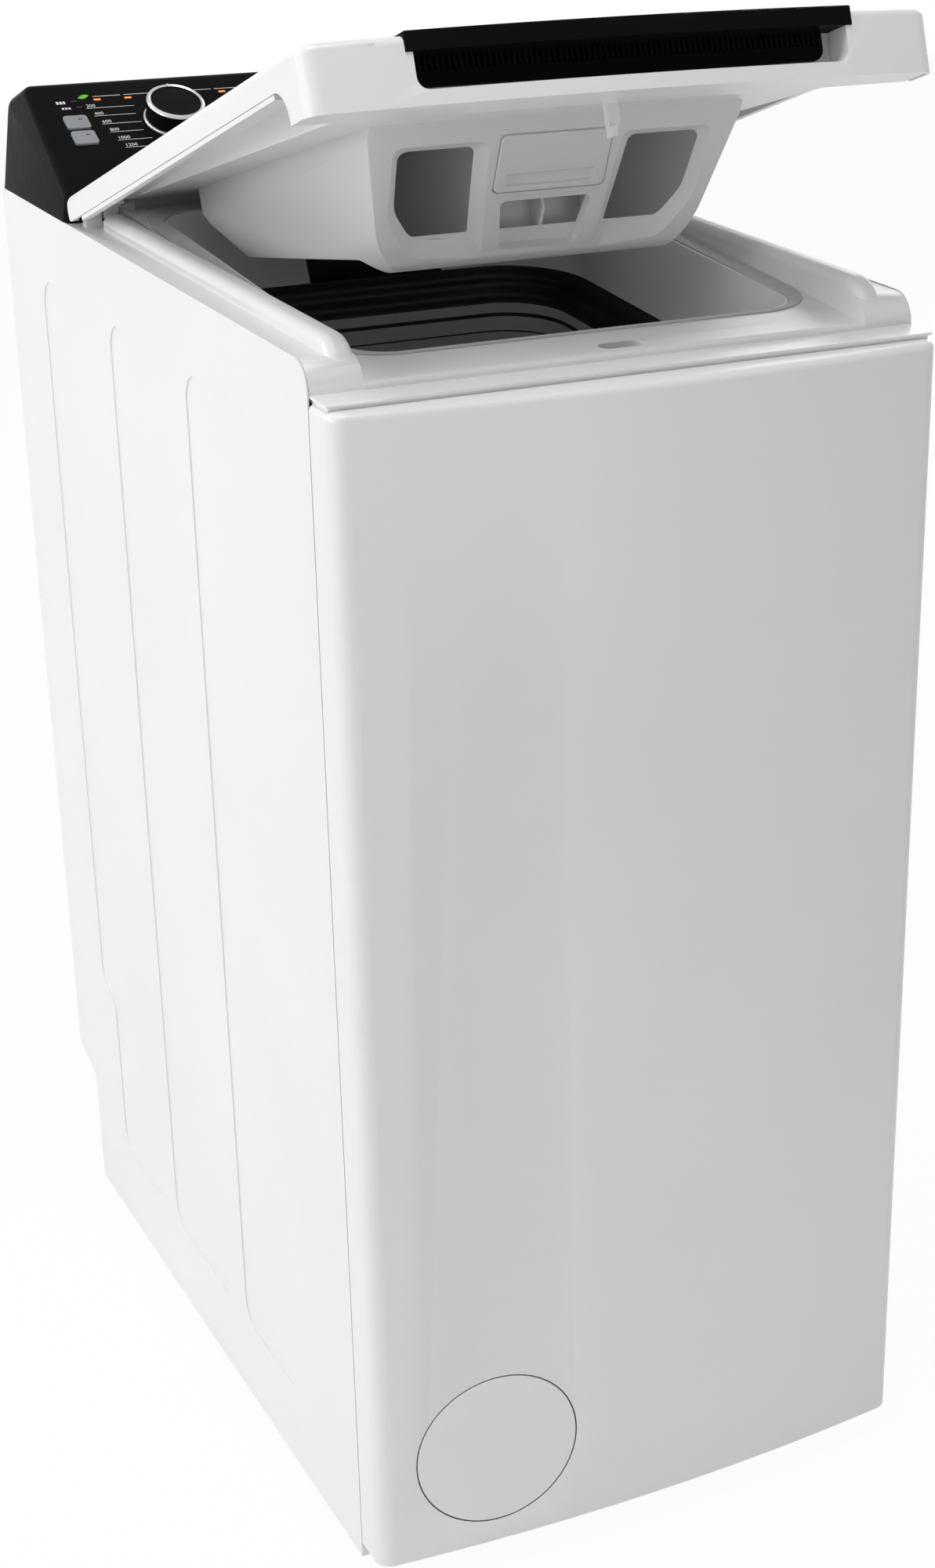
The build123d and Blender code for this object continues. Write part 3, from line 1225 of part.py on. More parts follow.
def tray_body(inset, face_inset):
    """Dispenser envelope: side profile crossed with a front view that narrows to the bottom."""
    lean = radians(TRAY_FACE_LEAN)
    top_y = TRAY_FACE_TOP_Y - 2 * LINER_GAP * tan(lean)
    foot_y = TRAY_FACE_TOP_Y + TRAY_FACE_LENGTH * sin(lean)
    foot_z = TRAY_FACE_TOP_Z - TRAY_FACE_LENGTH * cos(lean)
    shift = face_inset / cos(lean)
    floor = inset * TRAY_FLOOR_SHARE
    points = [
        (top_y + shift, rim_z(top_y) + LINER_GAP - inset),
        (foot_y + shift, foot_z + floor),
        (TRAY_BELLY_Y, TRAY_BELLY_Z + floor),
        (TRAY_HEEL_Y, TRAY_HEEL_Z + floor),
        (TRAY_REAR_Y - floor, TRAY_REAR_Z + floor / 2),
        (TRAY_REAR_Y - floor, rim_z(TRAY_REAR_Y) + LINER_GAP - inset),
    ]
    profile = outline(points, [0, TRAY_FOOT_RADIUS - inset, TRAY_FOOT_RADIUS, TRAY_FOOT_RADIUS, 0, 0])
    bottom_half = TRAY_HALF_TOP - (TRAY_FACE_TOP_Z - TRAY_BOTTOM_Z) * TRAY_SIDE_SLOPE - inset
    top_half = TRAY_HALF_TOP - inset
    high = LID_TOP
    view = outline(
        [
            (-bottom_half, TRAY_BOTTOM_Z + inset),
            (bottom_half, TRAY_BOTTOM_Z + inset),
            (top_half, TRAY_FACE_TOP_Z),
            (top_half, high),
            (-top_half, high),
            (-top_half, TRAY_FACE_TOP_Z),
        ],
        [TRAY_BOTTOM_RADIUS - inset, TRAY_BOTTOM_RADIUS - inset, 0, 0, 0, 0],
    )
    return prism_x(profile, (-HALF, HALF)) & prism_y(view, (FRONT, REAR))


def side_mouth(side, points, radii):
    """Mouth of a side compartment on the dispenser's face, points as (x outwards, distance down)."""
    return outline([(side * x, -s) for x, s in points], radii)


def dispenser_tray():
    outer = tray_body(0, 0)
    tray = outer - tray_body(TRAY_WALL, TRAY_FACE_WALL)
    for x in (-PARTITION_X, PARTITION_X):
        wall_x = (x - PARTITION_WALL / 2, x + PARTITION_WALL / 2)
        tray += block(wall_x, (FRONT, REAR), (TRAY_BOTTOM_Z, LID_TOP)) & outer
    shelf = Rectangle(2 * PARTITION_X, PARTITION_WALL)
    shelf = FACE.offset(-SHELF_DEPTH) * (Pos(0, -SHELF_S) * shelf)
    tray += extrude(shelf, SHELF_DEPTH - OVERCUT, dir=FACE.z_dir) & outer
    for side in (-1, 1):
        funnel = FACE.offset(OVERCUT) * side_mouth(side, FUNNEL_POINTS, FUNNEL_RADII)
        throat = FACE.offset(-TRAY_FACE_WALL - OVERCUT) * side_mouth(side, MOUTH_POINTS, MOUTH_RADII)
        tray -= loft([throat, funnel], ruled=True)
    centre = outline(
        [
            (CENTRE_TOP_HALF, -CENTRE_TOP_S),
            (-CENTRE_TOP_HALF, -CENTRE_TOP_S),
            (-CENTRE_FOOT_HALF, -CENTRE_FOOT_S),
            (CENTRE_FOOT_HALF, -CENTRE_FOOT_S),
        ],
        CENTRE_RADII,
    )
    centre = FACE.offset(-TRAY_FACE_WALL - OVERCUT) * centre
    tray -= extrude(centre, TRAY_FACE_WALL + 2 * OVERCUT, dir=FACE.z_dir)
    tray -= release_block(RELEASE_GAP, -TRAY_FACE_WALL - OVERCUT, OVERCUT)
    return LID_POSE * tray


def release_block(grow, low, high):
    middle = (RELEASE_TOP_S + RELEASE_BOTTOM_S) / 2
    width = 2 * (RELEASE_HALF_X + grow)
    height = RELEASE_BOTTOM_S - RELEASE_TOP_S + 2 * grow
    plate = Pos(0, -middle) * RectangleRounded(width, height, RELEASE_RADIUS)
    return extrude(FACE.offset(low) * plate, high - low, dir=FACE.z_dir)


def dispenser_release():
    button = release_block(0, -TRAY_FACE_WALL, RELEASE_PROUD)
    scoop_s = RELEASE_BOTTOM_S - RELEASE_SCOOP
    scoop = Rectangle(2 * (RELEASE_HALF_X - RELEASE_SCOOP), RELEASE_SCOOP)
    scoop = FACE.offset(-RELEASE_RADIUS / 2) * (Pos(0, -scoop_s) * scoop)
    return LID_POSE * (button - extrude(scoop, TRAY_FACE_WALL, dir=FACE.z_dir))


def dispenser_insert():
    """Floor and back of the middle compartment, with a short rib that divides it."""
    inside = tray_body(TRAY_WALL + INSERT_CLEAR, TRAY_FACE_WALL + INSERT_CLEAR)
    lean = radians(TRAY_FACE_LEAN)
    shelf_s = SHELF_S + PARTITION_WALL
    front_y = TRAY_FACE_TOP_Y + shelf_s * sin(lean)
    front_z = TRAY_FACE_TOP_Z - shelf_s * cos(lean)
    back_y = TRAY_FACE_TOP_Y + CENTRE_FOOT_S * sin(lean) + INSERT_BACK
    rib_y = front_y + INSERT_PLATE_SETBACK
    shelf_z = [front_z + (y - front_y) * tan(lean) for y in (rib_y, back_y)]
    wall = PARTITION_X - PARTITION_WALL / 2 - INSERT_CLEAR
    well = block((-wall, wall), (FRONT, back_y + PARTITION_WALL), (TRAY_BOTTOM_Z, LID_TOP)) & inside
    back = block((-wall, wall), (back_y, back_y + PARTITION_WALL), (TRAY_BOTTOM_Z, shelf_z[1]))
    floor = well - tray_body(TRAY_WALL + INSERT_CLEAR + PARTITION_WALL, TRAY_FACE_WALL)
    floor &= block((-wall, wall), (FRONT, REAR), (TRAY_BOTTOM_Z, TRAY_BELLY_Z + PARTITION_WALL))
    rib = outline(
        [(rib_y, TRAY_BOTTOM_Z), (back_y, TRAY_BOTTOM_Z), (back_y, shelf_z[1]), (rib_y, shelf_z[0])],
        [0] * 4,
    )
    rib = prism_x(rib, (INSERT_PLATE_X, INSERT_PLATE_X + PARTITION_WALL))
    return LID_POSE * (floor + (back & inside) + (rib & inside))


def door_cut(half_x, grow):
    """Wedge of the drum wall between the door's two edges."""
    reach = TUB_RADIUS
    low = DOOR_ANGLE - DOOR_HALF_ANGLE - grow
    high = DOOR_ANGLE + DOOR_HALF_ANGLE + grow
    return arc_band(half_x, low, high, DRUM_RADIUS / 2, reach)


def arc_band(half_x, low, high, inner, outer):
    """Part of a tube about the drum axis between two angles."""
    half = radians((high - low) / 2)

    def at(radius, angle):
        return radius * sin(angle), radius * cos(angle)

    first = Line(at(inner, -half), at(outer, -half))
    far = ThreePointArc(at(outer, -half), at(outer, 0), at(outer, half))
    last = Line(at(outer, half), at(inner, half))
    near = ThreePointArc(at(inner, half), at(inner, 0), at(inner, -half))
    return drum_at((low + high) / 2) * prism_x(make_face([first, far, last, near]), (-half_x, half_x))


def flap_pin_place(front):
    """Angle and radius of a flap's hinge pin."""
    back = degrees(FLAP_PIN_BACK / DRUM_RADIUS)
    angle = DOOR_ANGLE + (-1 if front else 1) * (DOOR_HALF_ANGLE + back)
    return angle, DRUM_RADIUS + FLAP_PIN_OUT


def flap_hinge_rods(front, radius, spans):
    """Rods along a flap's hinge line."""
    angle, place = flap_pin_place(front)
    rods = Part()
    for span in spans:
        rods += drum_at(angle) * rod_x(radius, span, 0, place)
    return rods


def knuckle_spans():
    half = FLAP_KNUCKLE_WIDTH / 2
    return [(x - half, x + half) for x in (-FLAP_KNUCKLE_X, FLAP_KNUCKLE_X)]


def lug_spans():
    out = FLAP_KNUCKLE_WIDTH / 2 + FLAP_LUG_GAP
    spans = []
    for x in (-FLAP_KNUCKLE_X, FLAP_KNUCKLE_X):
        spans.append((x - out - FLAP_LUG_WIDTH, x - out))
        spans.append((x + out, x + out + FLAP_LUG_WIDTH))
    return spans


def drum_shell():
    x = (-DRUM_HALF, DRUM_HALF)
    shell = rod_x(DRUM_RADIUS, x, DRUM_Y, DRUM_Z) - rod_x(DRUM_RADIUS - DRUM_WALL, x, DRUM_Y, DRUM_Z)
    shell -= door_cut(DOOR_HALF_X, 0)
    for front in (True, False):
        angle, place = flap_pin_place(front)
        for span in lug_spans():
            foot_y = (-FLAP_KNUCKLE_RADIUS, FLAP_KNUCKLE_RADIUS)
            lug = block(span, foot_y, (DRUM_RADIUS - DRUM_WALL, place))
            lug = drum_at(angle) * (lug + rod_x(FLAP_KNUCKLE_RADIUS, span, 0, place))
            shell += lug - flap_hinge_rods(front, FLAP_PIN_RADIUS + RUNNING_FIT, [span])
    return shell


def flap_hinge_pins():
    low = min(span[0] for span in lug_spans())
    pins = [flap_hinge_rods(front, FLAP_PIN_RADIUS, [(low, -low)]) for front in (True, False)]
    return Compound(children=pins)


def flap(front):
    side = -1 if front else 1
    edge_gap = degrees(FLAP_GAP / DRUM_RADIUS)
    outer_edge = DOOR_ANGLE + side * (DOOR_HALF_ANGLE - edge_gap)
    inner_edge = DOOR_ANGLE + side * edge_gap / 2
    low, high = sorted((outer_edge, inner_edge))
    leaf = arc_band(DOOR_HALF_X - FLAP_GAP, low, high, DRUM_RADIUS - FLAP_WALL, DRUM_RADIUS)
    for step in range(1, FLAP_STEPS + 1):
        back = step * FLAP_STEP_WIDTH
        turn = degrees(back / DRUM_RADIUS)
        span_x = DOOR_HALF_X - FLAP_GAP - back
        rise = DRUM_RADIUS + step * FLAP_STEP_RISE
        leaf += arc_band(span_x, low + turn, high - turn, DRUM_RADIUS - FLAP_WALL, rise)
    angle, place = flap_pin_place(front)
    reach = FLAP_PIN_BACK + 4 * FLAP_GAP
    for span in knuckle_spans():
        y = (0, reach) if front else (-reach, 0)
        strap = drum_at(angle) * block(span, y, (DRUM_RADIUS + FLAP_GAP, place + FLAP_GAP))
        inboard = (FLAP_PIN_BACK + 2 * FLAP_GAP, reach)
        foot_y = inboard if front else (-inboard[1], -inboard[0])
        strap += drum_at(angle) * block(span, foot_y, (DRUM_RADIUS - FLAP_WALL / 2, place))
        leaf += strap
    leaf += flap_hinge_rods(front, FLAP_KNUCKLE_RADIUS, knuckle_spans())
    return leaf - flap_hinge_rods(front, FLAP_PIN_RADIUS + RUNNING_FIT, knuckle_spans())


def latch_angles(length):
    """Angles of a stretch of the front flap that ends short of its free edge."""
    end = DOOR_ANGLE - degrees(LATCH_BACK / DRUM_RADIUS)
    return end - degrees(length / DRUM_RADIUS), end


def flap_front():
    slot_low, slot_high = latch_angles(LATCH_LENGTH + LATCH_TRAVEL + 2 * LATCH_GAP)
    slot_high += degrees(LATCH_GAP / DRUM_RADIUS)
    slot = arc_band(LATCH_HALF_X + LATCH_GAP, slot_low, slot_high, DRUM_RADIUS - 2 * FLAP_WALL, TUB_INNER)
    return flap(True) - slot


def flap_rear():
    return flap(False)


def flap_latch():
    low, high = latch_angles(LATCH_LENGTH)
    return arc_band(LATCH_HALF_X, low, high, DRUM_RADIUS - FLAP_WALL, DRUM_RADIUS + LATCH_PROUD)


def drum_end(side):
    outer = DRUM_HALF - DRUM_END_INSET
    x = sorted((side * (outer - DRUM_END_WALL), side * outer))
    radius = DRUM_RADIUS - DRUM_WALL - DRUM_END_CLEAR
    return rod_x(radius, x, DRUM_Y, DRUM_Z)


def drum_end_left():
    return drum_end(-1)


def drum_end_right():
    return drum_end(1)


def drum_lifters():
    half = DRUM_HALF - DRUM_END_INSET - DRUM_END_WALL - LIFTER_END_GAP
    inner = DRUM_RADIUS - DRUM_WALL - DRUM_END_CLEAR
    crest = inner - LIFTER_HEIGHT
    section = outline(
        [
            (-LIFTER_FOOT / 2, DRUM_RADIUS),
            (LIFTER_FOOT / 2, DRUM_RADIUS),
            (LIFTER_CREST / 2, crest),
            (-LIFTER_CREST / 2, crest),
        ],
        [0, 0, LIFTER_CREST / 3, LIFTER_CREST / 3],
    )
    bore = rod_x(inner, (-half, half), DRUM_Y, DRUM_Z)
    return Compound(children=[(drum_at(a) * prism_x(section, (-half, half))) & bore for a in LIFTER_ANGLES])


def shaft_start():
    return DRUM_HALF - DRUM_END_INSET


def drum_shafts():
    start = shaft_start()
    right = rod_x(SHAFT_FLANGE_RADIUS, (start, start + SHAFT_FLANGE), DRUM_Y, DRUM_Z)
    right += rod_x(SHAFT_RADIUS, (start, PULLEY_OUTER), DRUM_Y, DRUM_Z)
    left = rod_x(SHAFT_FLANGE_RADIUS, (-start - SHAFT_FLANGE, -start), DRUM_Y, DRUM_Z)
    left += rod_x(SHAFT_RADIUS, (-SHAFT_SEAT - BEARING_WIDTH, -start), DRUM_Y, DRUM_Z)
    return Compound(children=[left, right])


def drum_pulley():
    x = (PULLEY_INNER, PULLEY_OUTER)
    middle = (x[0] + x[1]) / 2
    rim = rod_x(PULLEY_RADIUS, x, DRUM_Y, DRUM_Z) - rod_x(PULLEY_RADIUS - PULLEY_RIM, x, DRUM_Y, DRUM_Z)
    web_x = (middle - PULLEY_WEB / 2, middle + PULLEY_WEB / 2)
    web = rod_x(PULLEY_RADIUS - PULLEY_RIM / 2, web_x, DRUM_Y, DRUM_Z)
    hub = rod_x(PULLEY_HUB, x, DRUM_Y, DRUM_Z)
    return rim + web + hub - rod_x(SHAFT_RADIUS + RUNNING_FIT, x, DRUM_Y, DRUM_Z)


def neck_prism(grow):
    """Neck of the tub under the loading well, square to the rim plane."""
    depth = WELL_DEPTH + GASKET_HEIGHT
    half_x = NECK_HALF_X + grow
    half_y = NECK_HALF_Y + grow
    plan = rim_outline(depth, half_x, half_y, NECK_SHIFT, NECK_RADIUS + grow)
    return extrude(plan, NECK_DROP, dir=-RIM.z_dir)


def tub_body():
    x = (-TUB_HALF, TUB_HALF)
    inner_x = (-SHAFT_SEAT, SHAFT_SEAT)
    tub = rod_x(TUB_RADIUS, x, DRUM_Y, DRUM_Z)
    seam = (-TUB_FLANGE_HALF, TUB_FLANGE_HALF)
    tub += rod_x(TUB_RADIUS + TUB_FLANGE_HEIGHT, seam, DRUM_Y, DRUM_Z)
    tub += block((-SUMP_HALF_X, SUMP_HALF_X), (SUMP_FRONT, SUMP_REAR), (SUMP_BOTTOM, DRUM_Z - DRUM_RADIUS))
    tub += rod_z(SPIGOT_RADIUS, (SUMP_BOTTOM - SPIGOT_LENGTH, SUMP_BOTTOM), HOSE_X, HOSE_Y)
    for damper_x, damper_y in DAMPER_PLACES:
        lug_x = (damper_x - DAMPER_LUG, damper_x + DAMPER_LUG)
        lug_y = (damper_y - DAMPER_LUG, damper_y + DAMPER_LUG)
        tub += block(lug_x, lug_y, (DAMPER_ROD_TOP, DRUM_Z - DRUM_RADIUS / 2))
    for y in (SPRING_FRONT, SPRING_REAR):
        lug_y = (y - SPRING_LUG_HALF, y + SPRING_LUG_HALF)
        lug_z = (SPRING_BOTTOM - SPRING_LUG, SPRING_BOTTOM)
        tub += both_sides(block((SHAFT_SEAT, SPRING_X + SPRING_RADIUS), lug_y, lug_z))
    tub += neck_prism(NECK_WALL)
    boss_x = (SHAFT_SEAT, SHAFT_SEAT + BEARING_WIDTH)
    tub += both_sides(rod_x(BEARING_RADIUS + BEARING_WALL, boss_x, DRUM_Y, DRUM_Z))
    tub -= rod_x(TUB_INNER, inner_x, DRUM_Y, DRUM_Z)
    sump_x = (SUMP_WALL - SUMP_HALF_X, SUMP_HALF_X - SUMP_WALL)
    sump_y = (SUMP_FRONT + SUMP_WALL, SUMP_REAR - SUMP_WALL)
    tub -= block(sump_x, sump_y, (SUMP_BOTTOM + SUMP_WALL, DRUM_Z))
    tub -= rod_z(HOSE_BORE, (SUMP_BOTTOM - SPIGOT_LENGTH, SUMP_BOTTOM + SUMP_WALL), HOSE_X, HOSE_Y)
    tub -= neck_prism(0)
    tub -= both_sides(rod_x(BEARING_RADIUS + RUNNING_FIT, boss_x, DRUM_Y, DRUM_Z))
    for angle in TUB_BOLT_ANGLES:
        tub -= tub_bolt(angle, TUB_BOLT_RADIUS + RUNNING_FIT, 0)
    return tub


def tub_left():
    return TUB & block((-HALF, 0), (FRONT, REAR), (0, HEIGHT))


def tub_right():
    return TUB & block((0, HALF), (FRONT, REAR), (0, HEIGHT))


def tub_bolt(angle, radius, head):
    place = TUB_RADIUS + TUB_FLANGE_HEIGHT / 2
    bolt = rod_x(radius, (-TUB_FLANGE_HALF, TUB_FLANGE_HALF), 0, place)
    if head:
        ends = (TUB_FLANGE_HALF, TUB_FLANGE_HALF + TUB_BOLT_HEAD_HEIGHT)
        bolt += rod_x(head, ends, 0, place) + rod_x(head, (-ends[1], -ends[0]), 0, place)
    return drum_at(angle) * bolt


def tub_bolts():
    return Compound(children=[tub_bolt(angle, TUB_BOLT_RADIUS, TUB_BOLT_HEAD) for angle in TUB_BOLT_ANGLES])


def bearings():
    x = (SHAFT_SEAT, SHAFT_SEAT + BEARING_WIDTH)
    right = rod_x(BEARING_RADIUS, x, DRUM_Y, DRUM_Z) - rod_x(SHAFT_RADIUS + RUNNING_FIT, x, DRUM_Y, DRUM_Z)
    return Compound(children=[right, mirror(right, about=Plane.YZ)])


def heater():
    start = SUMP_HALF_X - SUMP_WALL
    path = Line((start, HEATER_FRONT, HEATER_Z), (HEATER_REACH, HEATER_FRONT, HEATER_Z))
    path += ThreePointArc(
        (HEATER_REACH, HEATER_FRONT, HEATER_Z),
        (HEATER_REACH - HEATER_BEND, HEATER_FRONT + HEATER_BEND, HEATER_Z),
        (HEATER_REACH, HEATER_REAR, HEATER_Z),
    )
    path += Line((HEATER_REACH, HEATER_REAR, HEATER_Z), (start, HEATER_REAR, HEATER_Z))
    section = Plane(origin=(start, HEATER_FRONT, HEATER_Z), z_dir=(-1, 0, 0)) * Circle(HEATER_RADIUS)
    return sweep(section, path=path)


def motor():
    body = rod_x(MOTOR_RADIUS, (MOTOR_LEFT, MOTOR_RIGHT), MOTOR_Y, MOTOR_Z)
    lug_y = (MOTOR_Y - MOTOR_LUG_HALF_Y, MOTOR_Y + MOTOR_LUG_HALF_Y)
    for x in (MOTOR_LEFT + MOTOR_LUG_LEFT, MOTOR_RIGHT - MOTOR_LUG_RIGHT):
        lug = block((x, x + MOTOR_LUG_WIDTH), lug_y, (MOTOR_Z, DRUM_Z - DRUM_RADIUS / 2))
        body += lug - rod_x(TUB_RADIUS + SEAT_GAP, (x, x + MOTOR_LUG_WIDTH), DRUM_Y, DRUM_Z)
    bore = (MOTOR_RIGHT - MOTOR_SHAFT_DEPTH, MOTOR_RIGHT)
    return body - rod_x(MOTOR_SHAFT_RADIUS + RUNNING_FIT, bore, MOTOR_Y, MOTOR_Z)


def motor_pulley():
    shaft_x = (MOTOR_RIGHT - MOTOR_SHAFT_DEPTH + SEAT_GAP, PULLEY_OUTER)
    shaft = rod_x(MOTOR_SHAFT_RADIUS, shaft_x, MOTOR_Y, MOTOR_Z)
    return shaft + rod_x(MOTOR_PULLEY_RADIUS, (PULLEY_INNER, PULLEY_OUTER), MOTOR_Y, MOTOR_Z)


def belt_loop(grow):
    """Outline round both pulleys, grown off them by a distance."""
    big = PULLEY_RADIUS + grow
    small = MOTOR_PULLEY_RADIUS + grow
    dy = MOTOR_Y - DRUM_Y
    dz = MOTOR_Z - DRUM_Z
    along = atan2(dz, dy)
    turn = asin((big - small) / hypot(dy, dz))
    ends = []
    for side in (1, -1):
        normal = along + side * (radians(90) - turn)
        ends.append((cos(normal), sin(normal)))

    def at(centre, radius, unit):
        return centre[0] + radius * unit[0], centre[1] + radius * unit[1]

    drum = (DRUM_Y, DRUM_Z)
    drive = (MOTOR_Y, MOTOR_Z)
    outward = (cos(along), sin(along))
    back = (-outward[0], -outward[1])
    upper = Line(at(drum, big, ends[0]), at(drive, small, ends[0]))
    lower = Line(at(drum, big, ends[1]), at(drive, small, ends[1]))
    round_drum = ThreePointArc(*[at(drum, big, unit) for unit in (ends[0], back, ends[1])])
    round_drive = ThreePointArc(*[at(drive, small, unit) for unit in (ends[0], outward, ends[1])])
    return make_face([upper, round_drive, lower, round_drum])


def drive_belt():
    edge = (PULLEY_WIDTH - BELT_WIDTH) / 2
    x = (PULLEY_INNER + edge, PULLEY_OUTER - edge)
    return prism_x(belt_loop(BELT_CLEAR + BELT_WALL), x) - prism_x(belt_loop(BELT_CLEAR), x)


def counterweights():
    half = TUB_HALF - BALLAST_SIDE
    tub = rod_x(TUB_RADIUS + SEAT_GAP, (-HALF, HALF), DRUM_Y, DRUM_Z)
    seam_half = TUB_FLANGE_HALF + SEAT_GAP
    tub += rod_x(TUB_RADIUS + TUB_FLANGE_HEIGHT + SEAT_GAP, (-seam_half, seam_half), DRUM_Y, DRUM_Z)
    weights = []
    for side, (front, rear, low, high) in ((1, BALLAST_REAR), (-1, BALLAST_FRONT)):
        edge_y = DRUM_Y + side * TUB_RADIUS
        edge_z = DRUM_Z + side * TUB_RADIUS
        weight = block((-half, half), (edge_y + front, edge_y + rear), (edge_z + low, edge_z + high))
        weights.append(weight - tub)
    return Compound(children=weights)


def damper_cylinders():
    tubes = []
    for x, y in DAMPER_PLACES:
        tube = rod_z(DAMPER_RADIUS, (BASE_FLOOR, DAMPER_TOP), x, y)
        tubes.append(tube - rod_z(DAMPER_BORE, (BASE_FLOOR + DAMPER_FLOOR, DAMPER_TOP), x, y))
    return Compound(children=tubes)


def damper_rods():
    span = (DAMPER_ROD_BOTTOM, DAMPER_ROD_TOP)
    return Compound(children=[rod_z(DAMPER_ROD_RADIUS, span, x, y) for x, y in DAMPER_PLACES])


def suspension_springs():
    springs = []
    for x in (-SPRING_X, SPRING_X):
        for y in (SPRING_FRONT, SPRING_REAR):
            spring = rod_z(SPRING_RADIUS, (SPRING_BOTTOM, SPRING_TOP), x, y)
            springs.append(spring - rod_z(SPRING_RADIUS - SPRING_WIRE, (SPRING_BOTTOM, SPRING_TOP), x, y))
    return Compound(children=springs)


def suspension_brackets():
    brackets = []
    inner = SPRING_X - SPRING_RADIUS
    for side in (-1, 1):
        for y in (SPRING_FRONT, SPRING_REAR):
            # The rear pair stands on a pressed panel, one sheet further in
            outer = INNER_HALF - (SHEET if y == SPRING_REAR else 0)
            x = sorted((side * inner, side * outer))
            bracket_y = (y - BRACKET_HALF, y + BRACKET_HALF)
            brackets.append(block(x, bracket_y, (SPRING_TOP, SPRING_TOP + BRACKET_HEIGHT)))
    return Compound(children=brackets)


def drain_pump():
    filter_rear = FILTER_FRONT + FILTER_DEPTH
    pump = rod_y(FILTER_RADIUS + FILTER_WALL, (FILTER_FRONT, filter_rear), SERVICE_X, SERVICE_Z)
    pump += rod_y(PUMP_RADIUS, (filter_rear, PUMP_REAR), SERVICE_X, SERVICE_Z)
    stand_y = (BASE_FRONT + BASE_WALL, PUMP_REAR)
    pump += block((SERVICE_X - FILTER_RADIUS, SERVICE_X + FILTER_RADIUS), stand_y, (BASE_FLOOR, SERVICE_Z))
    pump += rod_z(SPIGOT_RADIUS, (SERVICE_Z, PUMP_SPIGOT_TOP), HOSE_X, HOSE_Y)
    pump -= rod_z(HOSE_BORE, (SERVICE_Z + FILTER_RADIUS, PUMP_SPIGOT_TOP), HOSE_X, HOSE_Y)
    return pump - rod_y(FILTER_RADIUS, (FILTER_FRONT, filter_rear - FILTER_WALL), SERVICE_X, SERVICE_Z)


def filter_cap():
    cap = rod_y(FILTER_RADIUS - RUNNING_FIT, (FILTER_FRONT, FILTER_FRONT + CAP_LENGTH), SERVICE_X, SERVICE_Z)
    grip_x = (SERVICE_X - FILTER_WALL, SERVICE_X + FILTER_WALL)
    grip_z = (SERVICE_Z - FILTER_RADIUS + FILTER_WALL, SERVICE_Z + FILTER_RADIUS - FILTER_WALL)
    return cap + block(grip_x, (FILTER_FRONT - CAP_GRIP, FILTER_FRONT), grip_z)


def sump_hose():
    low = PUMP_SPIGOT_TOP
    high = SUMP_BOTTOM - SPIGOT_LENGTH
    pitch = (high - low) / (2 * HOSE_RIBS)
    points = [(HOSE_BORE, low), (SPIGOT_RADIUS, low)]
    for index in range(HOSE_RIBS):
        points.append((SPIGOT_RADIUS + HOSE_RIB, low + (2 * index + 1) * pitch))
        points.append((SPIGOT_RADIUS, low + (2 * index + 2) * pitch))
    points.append((HOSE_BORE, high))
    profile = Plane.XZ * make_face(Polyline(*points, close=True))
    return Pos(HOSE_X, HOSE_Y, 0) * revolve(profile, Axis.Z)


def drain_pipe():
    x = SERVICE_X + DRAIN_OFFSET_X
    pipe = rod_y(DRAIN_RADIUS - SHEET, (PUMP_REAR, RECESS_FACE), x, DRAIN_Z)
    return pipe + rod_y(DRAIN_RADIUS, (RECESS_FACE, RECESS_FACE + DRAIN_STICKOUT), x, DRAIN_Z)


def inlet_valve():
    body_x = (INLET_X - VALVE_SIZE / 2, INLET_X + VALVE_SIZE / 2)
    body_y = (BASE_REAR - VALVE_SIZE, BASE_REAR)
    top = INLET_Z + VALVE_SIZE / 2
    valve = block(body_x, body_y, (INLET_Z - VALVE_SIZE / 2, top))
    valve += rod_y(INLET_RADIUS - SHEET, (BASE_REAR, RECESS_FACE), INLET_X, INLET_Z)
    valve += rod_y(INLET_RADIUS, (RECESS_FACE, RECESS_FACE + INLET_STICKOUT), INLET_X, INLET_Z)
    valve -= rod_y(INLET_RADIUS / 2, (BASE_REAR, RECESS_FACE + INLET_STICKOUT), INLET_X, INLET_Z)
    return valve


def fill_hose():
    span = (INLET_Z + VALVE_SIZE / 2, RAIL_Z - DECK_THICK)
    hose = rod_z(FILL_HOSE_RADIUS, span, INLET_X, FILL_HOSE_Y)
    return hose - rod_z(FILL_HOSE_BORE, span, INLET_X, FILL_HOSE_Y)


def cord_gland():
    inner = RECESS_FACE - 3 * SHEET
    gland = rod_y(GLAND_RADIUS, (inner, RECESS_FACE), GLAND_X, INLET_Z)
    gland += rod_y(GLAND_FLANGE, (RECESS_FACE, RECESS_FACE + 2 * SHEET), GLAND_X, INLET_Z)
    return gland - rod_y(GLAND_BORE, (inner, RECESS_FACE + 2 * SHEET), GLAND_X, INLET_Z)


TUB = tub_body()
MAKERS = (
    side_panel_left,
    side_panel_right,
    front_panel,
    rear_panel,
    cabinet_screws,
    base_pan,
    foot_front_left,
    foot_front_right,
    rear_feet,
    top_frame,
    rim_seal,
    door_gasket,
    lid_hinge_pins,
    lid_lock,
    control_panel,
    control_board,
    indicator_lenses,
    program_knob,
    lid_shell,
    lid_liner,
    lid_handle,
    dispenser_tray,
    dispenser_insert,
    dispenser_release,
    tub_left,
    tub_right,
    tub_bolts,
    bearings,
    heater,
    motor,
    motor_pulley,
    drive_belt,
    counterweights,
    damper_rods,
    damper_cylinders,
    suspension_springs,
    suspension_brackets,
    drum_shell,
    drum_end_left,
    drum_end_right,
    drum_lifters,
    drum_shafts,
    drum_pulley,
    flap_hinge_pins,
    flap_front,
    flap_rear,
    flap_latch,
    service_cover,
    filter_cap,
    drain_pump,
    sump_hose,
    drain_pipe,
    inlet_valve,
    fill_hose,
    cord_gland,
)


